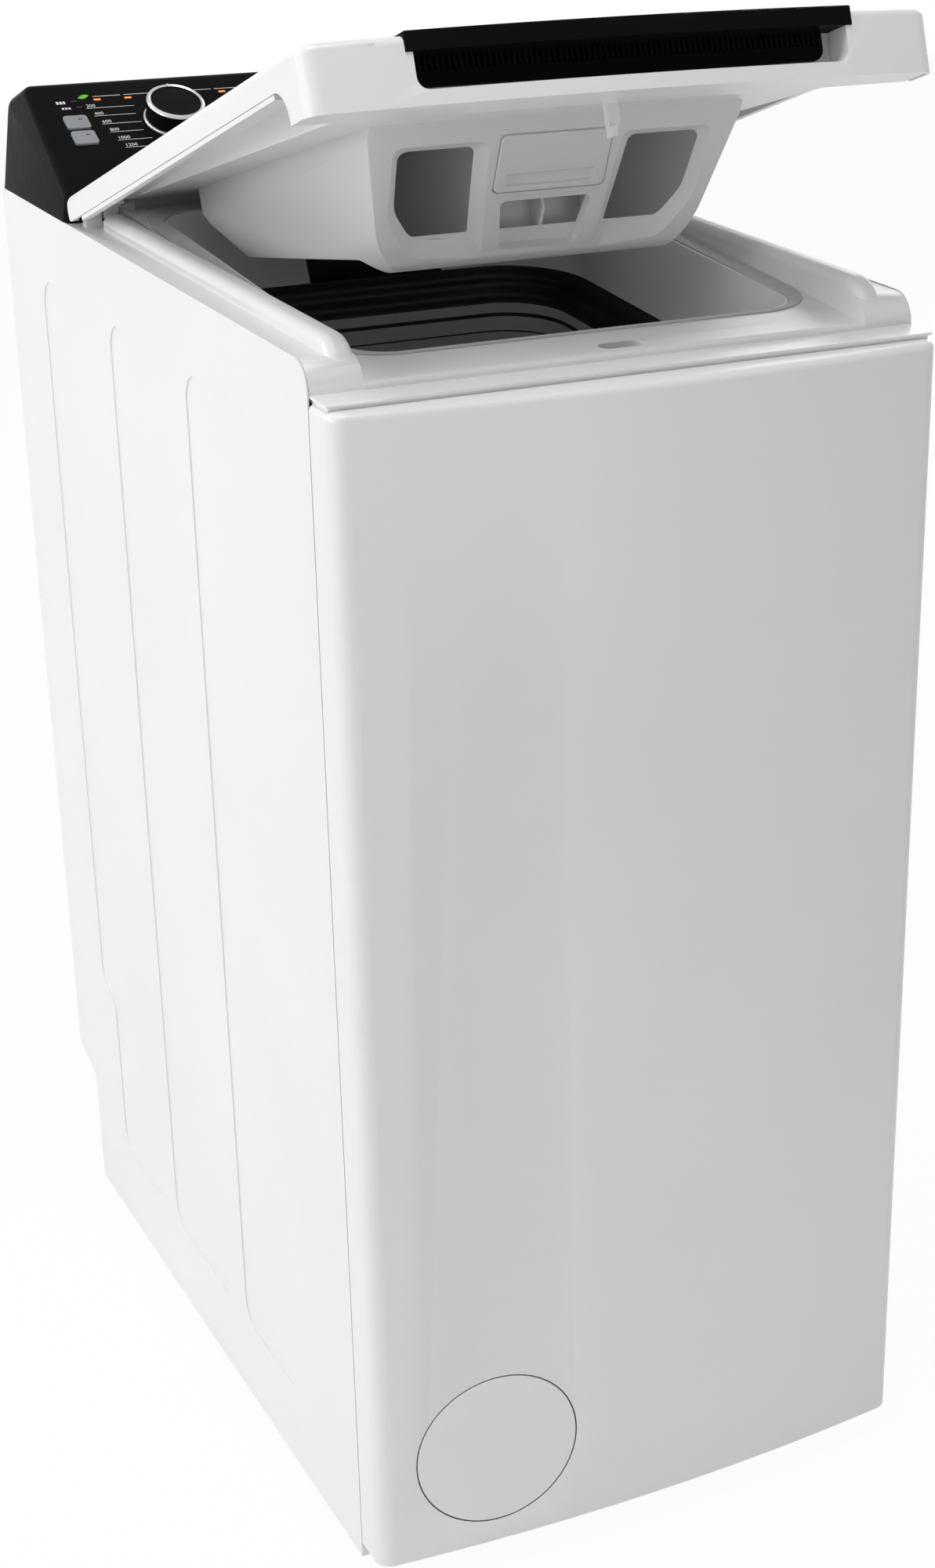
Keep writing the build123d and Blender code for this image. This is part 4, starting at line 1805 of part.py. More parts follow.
def main():
    os.makedirs("parts", exist_ok=True)
    for make in MAKERS:
        export_step(make(), f"parts/{make.__name__}.step")
    for name in button_places():
        export_step(push_button(name), f"parts/{name}.step")


main()
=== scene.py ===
import json
from math import atan2, cos, pi, radians, sin

import bmesh
import bpy
from mathutils import Euler, Matrix, Vector


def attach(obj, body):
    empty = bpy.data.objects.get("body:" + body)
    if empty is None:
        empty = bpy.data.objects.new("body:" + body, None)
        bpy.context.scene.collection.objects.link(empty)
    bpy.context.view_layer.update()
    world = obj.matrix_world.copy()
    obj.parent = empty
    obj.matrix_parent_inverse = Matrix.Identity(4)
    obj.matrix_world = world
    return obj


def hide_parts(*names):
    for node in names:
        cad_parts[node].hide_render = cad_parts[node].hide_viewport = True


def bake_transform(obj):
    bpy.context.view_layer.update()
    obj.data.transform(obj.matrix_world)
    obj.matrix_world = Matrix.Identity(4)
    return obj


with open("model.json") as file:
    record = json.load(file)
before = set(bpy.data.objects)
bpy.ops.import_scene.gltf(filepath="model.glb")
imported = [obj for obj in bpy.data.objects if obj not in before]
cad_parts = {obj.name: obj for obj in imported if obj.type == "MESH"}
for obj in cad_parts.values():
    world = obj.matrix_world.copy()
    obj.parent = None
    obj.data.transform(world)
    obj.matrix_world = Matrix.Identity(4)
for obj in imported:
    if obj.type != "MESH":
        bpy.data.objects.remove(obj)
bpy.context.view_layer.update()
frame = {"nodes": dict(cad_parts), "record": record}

MM = 0.001

# Camera of the photograph: place in metres, turns in degrees, lengths in pixels of a 1193 by 2000 frame
CAMERA_PLACE = (-0.7239, -1.6633, 1.1847)
CAMERA_YAW = 28.64
CAMERA_PITCH = -24.0
CAMERA_ROLL = 0.49
FOCAL_PIXELS = 3422.2
FRAME_PIXELS = (1193, 2000)
OPTICAL_CENTRE = (853.1, 1090.7)
SENSOR_MM = 36.0
CLIP_END = 50.0

# Sizes shared with the solids, in millimetres
RIDGE_Y = 283.0
RIDGE_Z = 905.0
NOSE_Y = 168.0
NOSE_Z = 848.0
KNOB_X = -96.0
KNOB_S = 54.0
KNOB_RADIUS = 21.0
KNOB_HEIGHT = 17.5
BUTTON_PLACES = {
    "option_button_upper": (-165.5, 49.0),
    "option_button_lower": (-165.5, 67.4),
    "delay_button": (120.0, 58.0),
    "start_button": (160.0, 58.0),
}
BUTTON_PROUD = 1.6
LID_OPEN = 18.7
HINGE_Y = 155.0
HINGE_Z = 839.5
HANDLE_REAR = -298.0
INSERT_WALL = 3.0
INSERT_HALF = 130.0
HANDLE_LIP = 841.0
RIM_ANGLE = 3.43
RIM_Y = -55.0
RIM_Z = 827.0
WELL_DEPTH = 50.0
WELL_FLOOR = (136.0, 149.0, 2.0, 58.0)
NECK = (124.0, 141.0, 1.0, 44.0)
GASKET_HEIGHT = 25.0
GASKET_WALL = 7.0
DRUM_Y = -20.0
DRUM_Z = 470.0
DRUM_RADIUS = 244.0
DRUM_WALL = 1.2

# How the copied solids are finished
MERGE = 0.01 * MM
FLAT_ANGLE = 0.6
SHARP_ANGLE = 32.0
BEVEL_ANGLE = 34.0
BEVEL_SEGMENTS = 2

# Parts of the noise range that carry the colour drift and the gloss, and the noise's depth
DRIFT_RANGE = (0.35, 0.65)
GLOSS_RANGE = (0.3, 0.7)
DRIFT_DETAIL = 3.0
GRAIN_DETAIL = 2.0

BODY_OF = {node: body for body, nodes in frame["record"]["behaviour"]["bodies"].items() for node in nodes}
SLOT_OF = {row["node"]: row["material_slot"] for row in frame["record"]["subparts"]}


def hex_colour(code):
    """sRGB hex value as linear RGBA."""
    channels = [int(code[place:place + 2], 16) / 255 for place in (1, 3, 5)]
    linear = [c / 12.92 if c <= 0.04045 else ((c + 0.055) / 1.055) ** 2.4 for c in channels]
    return (*linear, 1.0)


def add_node(tree, kind, settings=None, links=None):
    """One shader or geometry node with its settings and incoming links."""
    node = tree.nodes.new(kind)
    for key, value in (settings or {}).items():
        if key in node.inputs:
            node.inputs[key].default_value = value
        else:
            setattr(node, key, value)
    for key, socket in (links or {}).items():
        tree.links.new(socket, node.inputs[key])
    return node


def finish(name, colours, patch, relief, roughness, stretch=(1, 1, 1), shader=None, through=0.0):
    """A surface with colour drift, fine relief and uneven gloss.

    Patch is the size of the drift's patches, and relief the size and height of the grain, in millimetres.
    Roughness gives the lowest and highest value, stretch draws the grain out along the axes, shader holds
    further settings of the surface, and through is the share of light it lets pass.
    """
    material = bpy.data.materials.new(name)
    material.use_nodes = True
    tree = material.node_tree
    surface = tree.nodes["Principled BSDF"]
    for key, value in (shader or {}).items():
        surface.inputs[key].default_value = value
    place = add_node(tree, "ShaderNodeTexCoord").outputs["Object"]
    scale = {"Scale": 1 / (patch * MM), "Detail": DRIFT_DETAIL}
    drift = add_node(tree, "ShaderNodeTexNoise", scale, {"Vector": place})
    ramp = add_node(tree, "ShaderNodeValToRGB", links={"Fac": drift.outputs["Fac"]})
    for stop, position, colour in zip(ramp.color_ramp.elements, DRIFT_RANGE, colours):
        stop.position = position
        stop.color = hex_colour(colour)
    tree.links.new(ramp.outputs["Color"], surface.inputs["Base Color"])
    size, height = relief
    turned = add_node(tree, "ShaderNodeMapping", {"Scale": stretch}, {"Vector": place})
    scale = {"Scale": 1 / (size * MM), "Detail": GRAIN_DETAIL}
    grain = add_node(tree, "ShaderNodeTexNoise", scale, {"Vector": turned.outputs["Vector"]})
    raised = {"Strength": 1.0, "Distance": height * MM}
    bump = add_node(tree, "ShaderNodeBump", raised, {"Height": grain.outputs["Fac"]})
    tree.links.new(bump.outputs["Normal"], surface.inputs["Normal"])
    low, high = GLOSS_RANGE
    spread = {"From Min": low, "From Max": high, "To Min": roughness[0], "To Max": roughness[1]}
    gloss = add_node(tree, "ShaderNodeMapRange", spread, {"Value": grain.outputs["Fac"]})
    tree.links.new(gloss.outputs["Result"], surface.inputs["Roughness"])
    if through:
        bleed = add_node(tree, "ShaderNodeBsdfTranslucent", links={"Color": ramp.outputs["Color"]})
        mixed = add_node(tree, "ShaderNodeMixShader", links={1: surface.outputs[0], 2: bleed.outputs[0]})
        mixed.inputs[0].default_value = through
        tree.links.new(mixed.outputs[0], tree.nodes["Material Output"].inputs["Surface"])
    return material


def make_finishes():
    """Every finish on the machine, by the name used below."""
    metal = {"Metallic": 1.0}
    return {
        # Stoved enamel on sheet steel: hard, even gloss with a faint orange peel
        "enamel": finish(
            "stoved_enamel",
            colours=("#eeeeed", "#f1f1f0"),
            patch=220,
            relief=(9, 0.004),
            roughness=(0.3, 0.34),
            shader={"IOR": 1.45},
        ),
        # White ABS, satin moulded: softer gloss than the enamel, fine even grain
        "abs": finish(
            "satin_white_abs",
            colours=("#eeeeed", "#f1f1f0"),
            patch=160,
            relief=(1.6, 0.004),
            roughness=(0.3, 0.38),
            shader={"IOR": 1.53},
        ),
        # Polypropylene of the dispenser: duller than the ABS, and light bleeds through it
        "polypropylene": finish(
            "light_grey_polypropylene",
            colours=("#f0f0ef", "#f3f3f2"),
            patch=120,
            relief=(1.4, 0.006),
            roughness=(0.4, 0.5),
            through=0.3,
        ),
        # Black ABS from a smooth mould: deep even black with hardly any glare
        "gloss_black": finish(
            "polished_black_abs",
            colours=("#121212", "#151515"),
            patch=140,
            relief=(9, 0.003),
            roughness=(0.28, 0.34),
            shader={"Specular IOR Level": 0.01},
        ),
        # Black ABS with a fine spark-eroded grain on grips and the knob
        "grained_black": finish(
            "grained_black_abs",
            colours=("#0d0d0d", "#111111"),
            patch=60,
            relief=(0.9, 0.02),
            roughness=(0.42, 0.52),
            shader={"Specular IOR Level": 0.03},
        ),
        # Painted grey push buttons, satin
        "button_grey": finish(
            "satin_grey_lacquer",
            colours=("#84878a", "#8a8d90"),
            patch=30,
            relief=(0.8, 0.006),
            roughness=(0.34, 0.42),
        ),
        # Vacuum metallised trim rings: soft silver, brushed round
        "silver": finish(
            "metallised_trim",
            colours=("#b9bbbd", "#c4c6c8"),
            patch=12,
            relief=(0.6, 0.006),
            roughness=(0.28, 0.36),
            shader={"Metallic": 0.85},
        ),
        # Lit indicator lens: orange polycarbonate that glows
        "lamp": finish(
            "lit_orange_lens",
            colours=("#f58220", "#ff8c2a"),
            patch=4,
            relief=(1, 0.004),
            roughness=(0.2, 0.3),
            shader={"Emission Color": hex_colour("#ff7d14"), "Emission Strength": 0.9},
        ),
        # Pad-printed ink on the panel, slightly chalky
        "white_ink": finish(
            "white_printing_ink",
            colours=("#dcdddc", "#e4e4e3"),
            patch=3,
            relief=(0.5, 0.003),
            roughness=(0.5, 0.6),
        ),
        "green_ink": finish(
            "green_printing_ink",
            colours=("#55b219", "#66bf22"),
            patch=3,
            relief=(0.5, 0.003),
            roughness=(0.5, 0.6),
        ),
        # Near-black ink for printed marks and the buttons' lamp slots, also used as painted shade in the
        # drum's holes and the service cover's gap
        "dark_ink_and_painted_shade": finish(
            "dark_ink_and_painted_shade_finish",
            colours=("#040404", "#060606"),
            patch=3,
            relief=(0.5, 0.003),
            roughness=(0.5, 0.6),
        ),
        # Thermoplastic rubber of the rim seal: matt light grey
        "grey_rubber": finish(
            "grey_sealing_rubber",
            colours=("#c3c4c4", "#cacbcb"),
            patch=40,
            relief=(1.2, 0.02),
            roughness=(0.55, 0.65),
        ),
        # EPDM of the gasket, hoses and feet: matt black with a bloom
        "rubber": finish(
            "black_epdm_rubber",
            colours=("#0d0d0d", "#171717"),
            patch=45,
            relief=(1.5, 0.03),
            roughness=(0.45, 0.6),
        ),
        # Rolled stainless sheet: fine lines along the drum, slightly warm, darkened as painted shade for the
        # shadowed drum
        "stainless": finish(
            "rolled_stainless_darkened_as_shade",
            colours=("#8d8b87", "#999792"),
            patch=60,
            relief=(2.2, 0.004),
            roughness=(0.26, 0.36),
            stretch=(1, 12, 12),
            shader=metal,
        ),
        # Zinc plated fasteners and springs: cool grey, cloudy
        "zinc": finish(
            "zinc_plated_steel",
            colours=("#a9abae", "#b8babc"),
            patch=8,
            relief=(1.2, 0.01),
            roughness=(0.34, 0.46),
            shader=metal,
        ),
        # Die-cast aluminium: pale, grainy skin
        "alloy": finish(
            "cast_aluminium",
            colours=("#a7a8aa", "#b3b4b5"),
            patch=14,
            relief=(1.1, 0.05),
            roughness=(0.42, 0.55),
            shader=metal,
        ),
        # Filled polypropylene of the tub: chalky grey white
        "tub": finish(
            "filled_polypropylene",
            colours=("#cfcfca", "#d6d6d1"),
            patch=90,
            relief=(2.0, 0.03),
            roughness=(0.5, 0.6),
        ),
        # Glass-fibre board with green solder resist
        "board": finish(
            "green_solder_resist",
            colours=("#14532d", "#1a6236"),
            patch=9,
            relief=(0.7, 0.02),
            roughness=(0.3, 0.45),
        ),
        # Cast concrete ballast: rough, blotched
        "concrete": finish(
            "cast_concrete",
            colours=("#7c7a75", "#8f8c86"),
            patch=18,
            relief=(2.5, 0.4),
            roughness=(0.75, 0.9),
        ),
    }


# Finish of each material slot in the record
SLOT_FINISH = {
    "white_enamel": "enamel",
    "white_plastic": "abs",
    "dispenser_plastic": "polypropylene",
    "black_plastic": "gloss_black",
    "button_plastic": "button_grey",
    "lamp_lens": "lamp",
    "circuit_board": "board",
    "grey_rubber": "grey_rubber",
    "black_rubber": "rubber",
    "stainless": "stainless",
    "steel": "zinc",
    "lifter_plastic": "polypropylene",
    "tub_plastic": "tub",
    "damper_plastic": "tub",
    "light_alloy": "alloy",
    "concrete": "concrete",
}
FINISHES = make_finishes()


def new_piece(name, mesh, finishes):
    """Object for a finished mesh, with its materials and shading by angle."""
    if not mesh.materials:
        for key in finishes:
            mesh.materials.append(FINISHES[key])
    mesh.shade_smooth()
    mesh.set_sharp_from_angle(angle=radians(SHARP_ANGLE))
    piece = bpy.data.objects.new(name, mesh)
    bpy.context.scene.collection.objects.link(piece)
    return piece


def mesh_from(bm, name):
    """Plain mesh of a finished edit mesh."""
    mesh = bpy.data.meshes.new(name)
    bm.to_mesh(mesh)
    bm.free()
    return mesh


def settle(piece, body, slot, *nodes):
    """Put a piece on its body and hide the nodes it stands for; the slot argument is not used."""
    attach(piece, body)
    if nodes:
        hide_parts(*nodes)


def bridge(bm, loops):
    """Faces between each closed loop of points and the next."""
    for first, second in zip(loops, loops[1:]):
        for place in range(len(first)):
            after = (place + 1) % len(first)
            bm.faces.new([first[place], first[after], second[after], second[place]])


def tie_to_tub(piece, node):
    """A soft piece that runs from the cabinet to the floating tub; its node is hidden and its place is baked
    into its mesh.
    """
    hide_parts(node)
    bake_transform(piece)


def joined_copy(node):
    """A node's own shape with its facets joined."""
    bm = bmesh.new()
    bm.from_mesh(frame["nodes"][node].data)
    bmesh.ops.remove_doubles(bm, verts=bm.verts, dist=MERGE)
    bmesh.ops.dissolve_limit(bm, angle_limit=radians(FLAT_ANGLE), verts=bm.verts, edges=bm.edges)
    return new_piece(node + "_form", mesh_from(bm, node + "_form"), [SLOT_FINISH[SLOT_OF[node]]])


def refine(node, edge):
    """A joined copy of a node with its edges rounded."""
    piece = joined_copy(node)
    if edge:
        bevel = piece.modifiers.new("rounded_edges", "BEVEL")
        bevel.width = edge * MM
        bevel.segments = BEVEL_SEGMENTS
        bevel.limit_method = "ANGLE"
        bevel.angle_limit = radians(BEVEL_ANGLE)
        bevel.harden_normals = True
    settle(piece, BODY_OF[node], SLOT_OF[node], node)


# Edge radius of each copied solid, in millimetres
EDGES = {
    "front_panel": 0.5,
    "rear_panel": 0.4,
    "side_panel_left": 0.2,
    "side_panel_right": 0.2,
    "base_pan": 0.4,
    "top_frame": 1.0,
    "rim_seal": 0.8,
    "control_panel": 0.5,
    "lid_shell": 0.7,
    "lid_liner": 0.8,
    "lid_handle": 0.7,
    "dispenser_tray": 1.0,
    "dispenser_release": 1.0,
    "dispenser_insert": 0.4,
    "service_cover": 0.7,
    "filter_cap": 1.2,
    "option_button_upper": 0.0,
    "option_button_lower": 0.0,
    "delay_button": 0.0,
    "start_button": 0.0,
    "indicator_lenses": 0.2,
    "drum_shell": 0.3,
    "flap_front": 0.5,
    "flap_rear": 0.5,
    "flap_latch": 0.4,
    "drum_lifters": 2.0,
    "foot_front_left": 0.6,
    "foot_front_right": 0.6,
    "rear_feet": 0.6,
    "cabinet_screws": 0.4,
    "inlet_valve": 0.8,
    "drain_pipe": 0.6,
    "cord_gland": 0.5,
    "lid_hinge_pins": 0.4,
    "lid_lock": 0.8,
}


def slope_frame():
    """Frame on the control panel's slope, at its ridge: X to the right, Y up the slope, Z out of it."""
    lean = atan2(RIDGE_Z - NOSE_Z, RIDGE_Y - NOSE_Y)
    return Matrix.Translation(Vector((0, RIDGE_Y, RIDGE_Z)) * MM) @ Matrix.Rotation(lean, 4, "X")


SLOPE = slope_frame()


def on_slope(x, s, height):
    """Point on the slope: across, distance down from the ridge, and height above it, in millimetres."""
    return SLOPE @ (Vector((x, -s, height)) * MM)


# Printing on the control panel: height above it, then each mark's place and size
INK_HEIGHT = 0.06
WHITE_INK, GREEN_INK, DARK_INK = range(3)


def ink_shape(bm, points, ink=WHITE_INK):
    """Flat printed shape on the slope from (x, s) points."""
    face = bm.faces.new([bm.verts.new(on_slope(x, s, INK_HEIGHT)) for x, s in points])
    face.material_index = ink


def ink_bar(bm, x, s, length, width, ink=WHITE_INK):
    """Printed bar that starts at x and has its middle line at s."""
    low = s + width / 2
    high = s - width / 2
    ink_shape(bm, [(x, low), (x + length, low), (x + length, high), (x, high)], ink)


ROW_S = (32.4, 42.0, 52.0, 62.0, 72.0, 81.0)
ROW_STARTS = (-153.5, -150.5, -148.0, -145.5, -143.0, -140.5)
ROW_ENDS = (-118.5, -120.5, -119.5, -121.0, -118.0, -116.0)
ROW_WIDTH = 0.45
SCALE_S = 18.7
SCALE_START = -144.7
SCALE_PITCH = 22.7
SCALE_LENGTH = 20.4
SCALE_WIDTH = 0.55
SCALE_MARKS = 9
NUMBER_HEIGHT = 4.6
NUMBER_STEP = 200
NUMBER_SHIFT = (0.6, -1.4)
NUMBER_SMOOTHNESS = 3
LEAF_X = -151.5
LEAF_S = 18.2
LEAF_LENGTH = 9.0
LEAF_WIDTH = 4.6
LEAF_LEAN = 0.3
LEAF_POINTS = 10
STAMP_X = -173.0
STAMP_S = (24.0, 31.0)
STAMP_STAGGER = 2
STAMP_COLUMNS = 3
STAMP_PITCH = 2.4
STAMP_LENGTH = 1.7
STAMP_WIDTHS = (3.2, 2.2)
SHADE_SHIFT = (11, -1)
SHADE_SIZE = (4.2, 1.2)
SLOT_SHIFT = (3.0, -2.4)
SLOT_SIZE = (3.4, 1.1)
SLOT_STEPS = 16


def plain_mesh(holder):
    """Mesh of an object with its modifiers applied; the object itself goes."""
    mesh = bpy.data.meshes.new_from_object(holder.evaluated_get(bpy.context.evaluated_depsgraph_get()))
    bpy.data.objects.remove(holder)
    return mesh


def number_mesh(words, x, s, height):
    """A numeral as a flat mesh lying on the slope, its foot at (x, s)."""
    curve = bpy.data.curves.new("numeral", "FONT")
    curve.body = words
    curve.size = height * MM
    curve.resolution_u = NUMBER_SMOOTHNESS
    holder = bpy.data.objects.new("numeral", curve)
    bpy.context.scene.collection.objects.link(holder)
    mesh = plain_mesh(holder)
    mesh.transform(SLOPE @ Matrix.Translation(Vector((x, -s, INK_HEIGHT)) * MM))
    return mesh


def panel_printing():
    """Rows beside the knob, the scale above it and plain signs, all in ink on the control panel."""
    bm = bmesh.new()
    for number, (s, start, end) in enumerate(zip(ROW_S, ROW_STARTS, ROW_ENDS), 1):
        ink_bar(bm, start, s, end - start, ROW_WIDTH)
        foot = (start + NUMBER_SHIFT[0], s + NUMBER_SHIFT[1])
        bm.from_mesh(number_mesh(str(number * NUMBER_STEP), *foot, NUMBER_HEIGHT))
    for mark in range(SCALE_MARKS):
        ink_bar(bm, SCALE_START + mark * SCALE_PITCH, SCALE_S, SCALE_LENGTH, SCALE_WIDTH)
    for row, (s, width) in enumerate(zip(STAMP_S, STAMP_WIDTHS)):
        start = STAMP_X + row * STAMP_STAGGER
        for column in range(STAMP_COLUMNS):
            ink_bar(bm, start + column * STAMP_PITCH, s, STAMP_LENGTH, width)
        ink_bar(bm, start + SHADE_SHIFT[0], s + SHADE_SHIFT[1], *SHADE_SIZE, DARK_INK)
    sides = []
    for turn in (1, -1):
        for step in range(LEAF_POINTS):
            share = step / LEAF_POINTS
            along = LEAF_LENGTH * (share - 0.5) * turn
            bulge = turn * LEAF_WIDTH / 2 * sin(pi * share)
            sides.append((LEAF_X - along, LEAF_S - bulge + along * LEAF_LEAN))
    ink_shape(bm, sides[::-1], GREEN_INK)
    bmesh.ops.recalc_face_normals(bm, faces=bm.faces)
    outward = SLOPE.to_3x3() @ Vector((0, 0, 1))
    bmesh.ops.reverse_faces(bm, faces=[face for face in bm.faces if face.normal.dot(outward) < 0])
    inks = ["white_ink", "green_ink", "dark_ink_and_painted_shade"]
    piece = new_piece("panel_printing", mesh_from(bm, "panel_printing"), inks)
    settle(piece, "cabinet", "black_plastic")


def button_slots():
    """Dark lamp slot in each push button."""
    length, width = SLOT_SIZE
    for node, (x, s) in BUTTON_PLACES.items():
        bm = bmesh.new()
        middle_x = x + SLOT_SHIFT[0]
        middle_s = s + SLOT_SHIFT[1]
        corners = []
        for step in range(SLOT_STEPS):
            turn = 2 * pi * step / SLOT_STEPS
            end = (length - width) / 2 * (1 if cos(turn) > 0 else -1)
            across = end + width / 2 * cos(turn)
            corners.append((middle_x + across, middle_s - width / 2 * sin(turn)))
        bm.faces.new([bm.verts.new(on_slope(a, b, BUTTON_PROUD + INK_HEIGHT)) for a, b in corners])
        piece = new_piece(node + "_slot", mesh_from(bm, node + "_slot"), ["dark_ink_and_painted_shade"])
        settle(piece, BODY_OF[node], "button_plastic")


# Knob from its crown down to its shaft: radius, height above the slope, and 1 where the silver ring shows
KNOB_PROFILE = [
    (0.0, 16.9, 0),
    (12.0, 16.85, 0),
    (17.6, 16.5, 0),
    (17.9, 16.6, 1),
    (18.5, 17.3, 1),
    (19.0, 17.5, 1),
    (20.3, 16.5, 1),
    (20.75, 15.4, 1),
    (20.6, 15.1, 0),
    (20.3, 14.8, 0),
    (20.0, 4.0, 0),
    (20.1, 2.8, 0),
    (20.4, 2.7, 1),
    (21.3, 2.5, 1),
    (21.7, 1.9, 1),
    (21.7, 0.7, 1),
    (21.2, 0.65, 0),
    (3.0, 0.65, 0),
    (3.0, -13.5, 0),
    (0.0, -13.5, 0),
]
KNOB_SEGMENTS = 72
POINTER_LENGTH = 3.4
POINTER_WIDTH = 1.3
POINTER_INSET = 1.2
POINTER_FINISH = 2


def program_knob():
    """Turned knob with a silver ring at its crown and another at its foot."""
    bm = bmesh.new()
    rings = []
    for radius, height, _ in KNOB_PROFILE:
        if radius == 0:
            rings.append([bm.verts.new(on_slope(KNOB_X, KNOB_S, height))] * KNOB_SEGMENTS)
            continue
        ring = []
        for step in range(KNOB_SEGMENTS):
            turn = 2 * pi * step / KNOB_SEGMENTS
            point = on_slope(KNOB_X + radius * cos(turn), KNOB_S - radius * sin(turn), height)
            ring.append(bm.verts.new(point))
        rings.append(ring)
    for place, (upper, lower) in enumerate(zip(rings, rings[1:])):
        for step in range(KNOB_SEGMENTS):
            after = (step + 1) % KNOB_SEGMENTS
            corners = dict.fromkeys([upper[step], upper[after], lower[after], lower[step]])
            face = bm.faces.new(list(corners))
            face.material_index = KNOB_PROFILE[place][2]
    bmesh.ops.recalc_face_normals(bm, faces=bm.faces)
    top = KNOB_HEIGHT + INK_HEIGHT
    tip = KNOB_S - KNOB_RADIUS + POINTER_INSET
    tail = tip + POINTER_LENGTH
    left = KNOB_X - POINTER_WIDTH / 2
    right = KNOB_X + POINTER_WIDTH / 2
    points = [(left, tail), (right, tail), (right, tip), (left, tip)]
    face = bm.faces.new([bm.verts.new(on_slope(x, s, top)) for x, s in points])
    face.material_index = POINTER_FINISH
    finishes = ["grained_black", "silver", "white_ink"]
    piece = new_piece("program_knob_form", mesh_from(bm, "program_knob_form"), finishes)
    settle(piece, BODY_OF["program_knob"], "black_plastic", "program_knob")


def lid_pose():
    """Turn that opens the lid from closed to the photograph's pose."""
    hinge = Matrix.Translation(Vector((0, HINGE_Y, HINGE_Z)) * MM)
    return hinge @ Matrix.Rotation(radians(-LID_OPEN), 4, "X") @ hinge.inverted()


LID_POSE = lid_pose()
RIB_COUNT = 72
RIB_WIDTH = 1.7
RIB_DEPTH = 2.6
RIB_HEIGHT = 7.0


def open_tree(name, sockets):
    """New Geometry Nodes tree with its inputs by name and kind, and a finish."""
    tree = bpy.data.node_groups.new(name, "GeometryNodeTree")
    tree.interface.new_socket("Geometry", in_out="OUTPUT", socket_type="NodeSocketGeometry")
    for words, kind in {**sockets, "Finish": "Material"}.items():
        tree.interface.new_socket(words, in_out="INPUT", socket_type="NodeSocket" + kind)
    return tree, add_node(tree, "NodeGroupInput").outputs


def close_tree(tree, instances, finish_socket):
    """Turn a tree's instances to plain geometry and give them their finish."""
    real = add_node(tree, "GeometryNodeRealizeInstances", links={"Geometry": instances})
    parts = {"Geometry": real.outputs["Geometry"], "Material": finish_socket}
    painted = add_node(tree, "GeometryNodeSetMaterial", links=parts)
    add_node(tree, "NodeGroupOutput", links={"Geometry": painted.outputs["Geometry"]})


def row_tree():
    """Geometry Nodes: a row of upright ribs along X."""
    tree, values = open_tree("grip_ribs", {"Count": "Int", "Span": "Float", "Size": "Vector"})
    half = add_node(tree, "ShaderNodeMath", {"operation": "MULTIPLY"}, {0: values["Span"]})
    half.inputs[1].default_value = -0.5
    start = add_node(tree, "ShaderNodeCombineXYZ", links={"X": half.outputs[0]})
    end = add_node(tree, "ShaderNodeVectorMath", {"operation": "SCALE"}, {0: start.outputs[0]})
    end.inputs["Scale"].default_value = -1.0
    line = add_node(
        tree,
        "GeometryNodeMeshLine",
        {"mode": "END_POINTS"},
        {"Count": values["Count"], "Start Location": start.outputs[0], "Offset": end.outputs[0]},
    )
    rib = add_node(tree, "GeometryNodeMeshCube", links={"Size": values["Size"]})
    parts = {"Points": line.outputs["Mesh"], "Instance": rib.outputs["Mesh"]}
    placed = add_node(tree, "GeometryNodeInstanceOnPoints", links=parts)
    close_tree(tree, placed.outputs["Instances"], values["Finish"])
    return tree


def grown_mesh(name, tree, inputs):
    """Plain mesh that a node tree makes from its named inputs."""
    holder = bpy.data.objects.new(name, bpy.data.meshes.new(name))
    bpy.context.scene.collection.objects.link(holder)
    modifier = holder.modifiers.new(name, "NODES")
    modifier.node_group = tree
    for item in tree.interface.items_tree:
        if item.in_out == "INPUT" and item.name in inputs:
            modifier[item.identifier] = inputs[item.name]
    return plain_mesh(holder)


def handle_ribs():
    """Fine grip ribs on the back of the handle pocket."""
    size = Vector((RIB_WIDTH, RIB_DEPTH, RIB_HEIGHT)) * MM
    span = (2 * INSERT_HALF - 4 * RIB_WIDTH) * MM
    inputs = {"Count": RIB_COUNT, "Span": span, "Size": size, "Finish": FINISHES["grained_black"]}
    mesh = grown_mesh("handle_ribs", row_tree(), inputs)
    middle = Vector((0, HANDLE_REAR - INSERT_WALL - RIB_DEPTH / 2, HANDLE_LIP - RIB_HEIGHT / 2)) * MM
    mesh.transform(LID_POSE @ Matrix.Translation(middle))
    piece = new_piece("handle_ribs", mesh, ["grained_black"])
    settle(piece, "lid", "black_plastic")


def rim_frame(depth):
    """Frame parallel to the well's rim, a distance below it."""
    tilt = Matrix.Translation(Vector((0, RIM_Y, RIM_Z)) * MM) @ Matrix.Rotation(radians(RIM_ANGLE), 4, "X")
    return tilt @ Matrix.Translation(Vector((0, 0, -depth)) * MM)


CORNER_STEPS = 12


def rounded_ring(depth, half_x, half_y, shift, radius):
    """Points round a rounded rectangle on a plane parallel to the rim."""
    plane = rim_frame(depth)
    points = []
    for quarter in range(4):
        side_x = 1 if quarter in (0, 3) else -1
        side_y = 1 if quarter in (0, 1) else -1
        for step in range(CORNER_STEPS + 1):
            turn = (quarter + step / CORNER_STEPS) * pi / 2
            x = side_x * (half_x - radius) + radius * cos(turn)
            y = shift + side_y * (half_y - radius) + radius * sin(turn)
            points.append(plane @ (Vector((x, y, 0)) * MM))
    return points


GASKET_FOLDS = 2
GASKET_FOLD_DEPTH = 2.0
GASKET_BACK_SHARE = -0.2
GASKET_STEPS = 24


